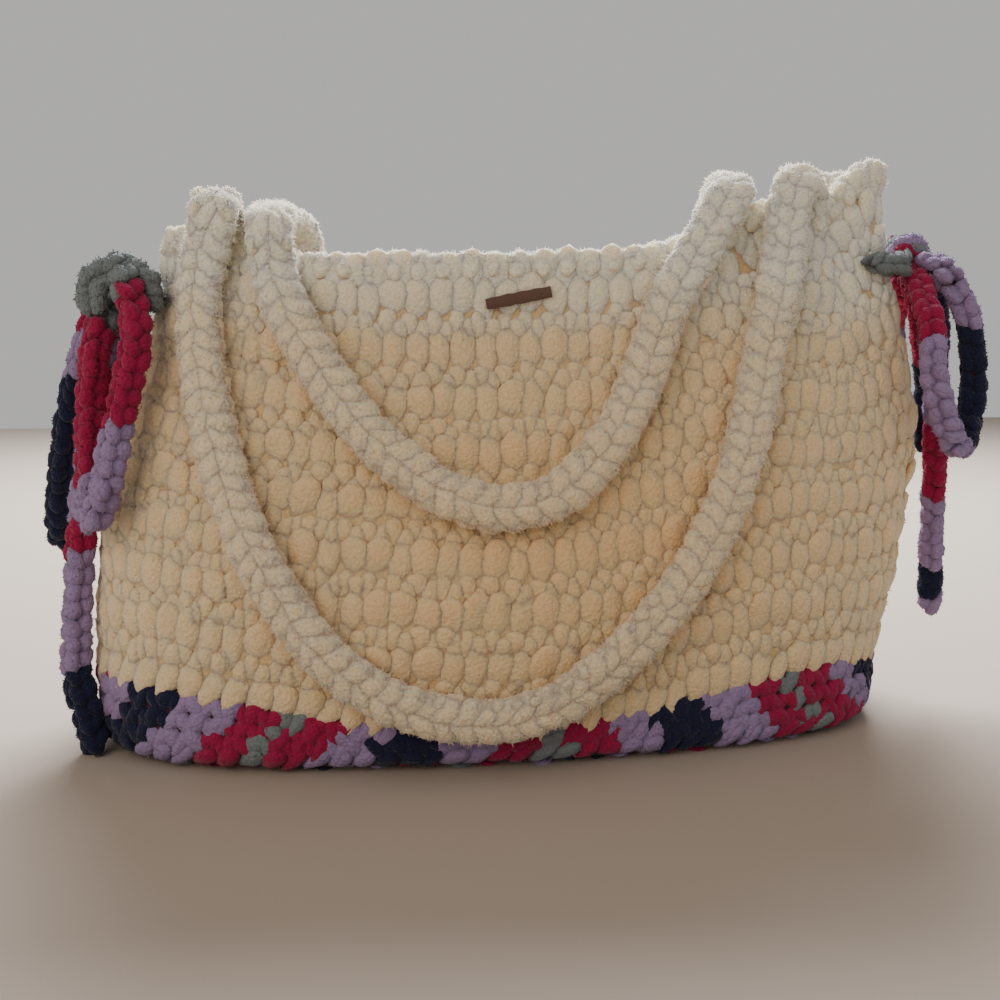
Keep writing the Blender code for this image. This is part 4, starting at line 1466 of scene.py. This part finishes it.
def label_ring(bm, part):
    """The tape's outline at a share of its length, with its weave places."""
    run = (part - 0.5) * LABEL_LENGTH
    narrow = 1.0 - 0.10 * math.cos(math.pi * part) ** 8
    sink = LABEL_SINK * math.cos(2 * math.pi * run / STITCH_WIDE)
    ring = []
    for up, lift in LABEL_EDGE:
        rise = up * LABEL_WIDTH * narrow * (1.0 + 0.05 * math.sin(run * 900.0))
        x = LABEL_PLACE[0] + run * math.cos(LABEL_TILT) - rise * math.sin(LABEL_TILT)
        z = LABEL_PLACE[1] + run * math.sin(LABEL_TILT) + rise * math.cos(LABEL_TILT)
        y = front_face(x, z) - LABEL_SEAT - LABEL_THICKNESS * lift + sink
        ring.append((bm.verts.new((x, y, z)), (run / LABEL_WIDTH, up)))
    return ring


bm = bmesh.new()
weave = bm.loops.layers.uv.new("weave")
rings = [label_ring(bm, i / LABEL_STEPS) for i in range(LABEL_STEPS + 1)]
for low, high in zip(rings, rings[1:]):
    for k in range(len(LABEL_EDGE)):
        after = (k + 1) % len(LABEL_EDGE)
        corners = (low[k], low[after], high[after], high[k])
        face = bm.faces.new([vert for vert, _ in corners])
        for loop, (_, uv) in zip(face.loops, corners):
            loop[weave].uv = uv
for ring in (rings[0], rings[-1]):
    bm.faces.new([vert for vert, _ in ring])
bmesh.ops.recalc_face_normals(bm, faces=bm.faces)
label_mesh = keep_mesh(bm, "label_tape")
label_mesh.shade_smooth()
label = add_object("label_tape", label_mesh)
print("label faces:", len(label_mesh.polygons))

# %% Weave the label
label_material = bpy.data.materials.new("brown woven tape")
label_material.use_nodes = True
tree = label_material.node_tree
cloth = add_node(tree, "ShaderNodeUVMap", uv_map="weave")
cords = add_node(tree, "ShaderNodeTexWave", {
    "Vector": cloth.outputs["UV"], "Scale": 3.2, "Distortion": 1.2, "Detail": 2.0,
}, bands_direction="X").outputs["Fac"]
bump = add_node(tree, "ShaderNodeBump", {"Strength": 0.6, "Distance": 0.0004, "Height": cords})
set_inputs(tree, tree.nodes["Principled BSDF"], {
    "Base Color": add_mix(tree, "MIX", cords, (0.070, 0.036, 0.026, 1.0), (0.165, 0.090, 0.066, 1.0)),
    "Normal": bump.outputs["Normal"],
    "Roughness": 0.85,
})
label_mesh.materials.append(label_material)
hand_over(label, "label")
print("label nodes:", len(tree.nodes))

# %% [markdown]
# ## The floor and the light
#
# The bag stands on a plain matt floor, under soft studio light. A wide lamp
# high behind it whitens the rim and the tops of the straps, and a weak warm
# one in front keeps the wall readable.

# %% Lay the floor
FLOOR_REACH = 12
FLOOR_BACK = 1.8

floor_mesh = bpy.data.meshes.new("floor")
floor_mesh.from_pydata([
    (-FLOOR_REACH, -FLOOR_REACH, 0),
    (FLOOR_REACH, -FLOOR_REACH, 0),
    (FLOOR_REACH, FLOOR_BACK, 0),
    (-FLOOR_REACH, FLOOR_BACK, 0),
], [], [(0, 1, 2, 3)])
floor = add_object("floor", floor_mesh)
floor_material = bpy.data.materials.new("matt floor")
floor_material.use_nodes = True
tree = floor_material.node_tree
set_inputs(tree, tree.nodes["Principled BSDF"], {
    "Base Color": (0.37, 0.31, 0.26, 1.0),
    "Roughness": 0.9,
})
floor_mesh.materials.append(floor_material)
print("floor depth behind the bag, m:", FLOOR_BACK)

# %% Light the studio
world = bpy.data.worlds.new("studio")
bpy.context.scene.world = world
world.use_nodes = True
set_inputs(world.node_tree, world.node_tree.nodes["Background"], {
    "Color": (0.80, 0.79, 0.775, 1.0),
    "Strength": 0.64,
})


def add_lamp(name, place, target, size, power, colour):
    data = bpy.data.lights.new(name, "AREA")
    data.shape = "RECTANGLE"
    data.size, data.size_y = size
    data.energy = power
    data.color = colour
    lamp = bpy.data.objects.new(name, data)
    lamp.location = place
    lamp.rotation_euler = (Vector(target) - Vector(place)).to_track_quat("-Z", "Y").to_euler()
    bpy.context.collection.objects.link(lamp)


add_lamp("back lamp", (0.15, 1.00, 1.10), (0.0, 0.0, 0.15), (1.4, 0.7), 95.0, (0.96, 0.98, 1.0))
add_lamp("front lamp", (-0.90, -1.30, 0.90), (0.0, 0.0, 0.12), (1.2, 1.2), 11.5, (1.0, 0.82, 0.64))
print("lamps:", len(bpy.data.lights))
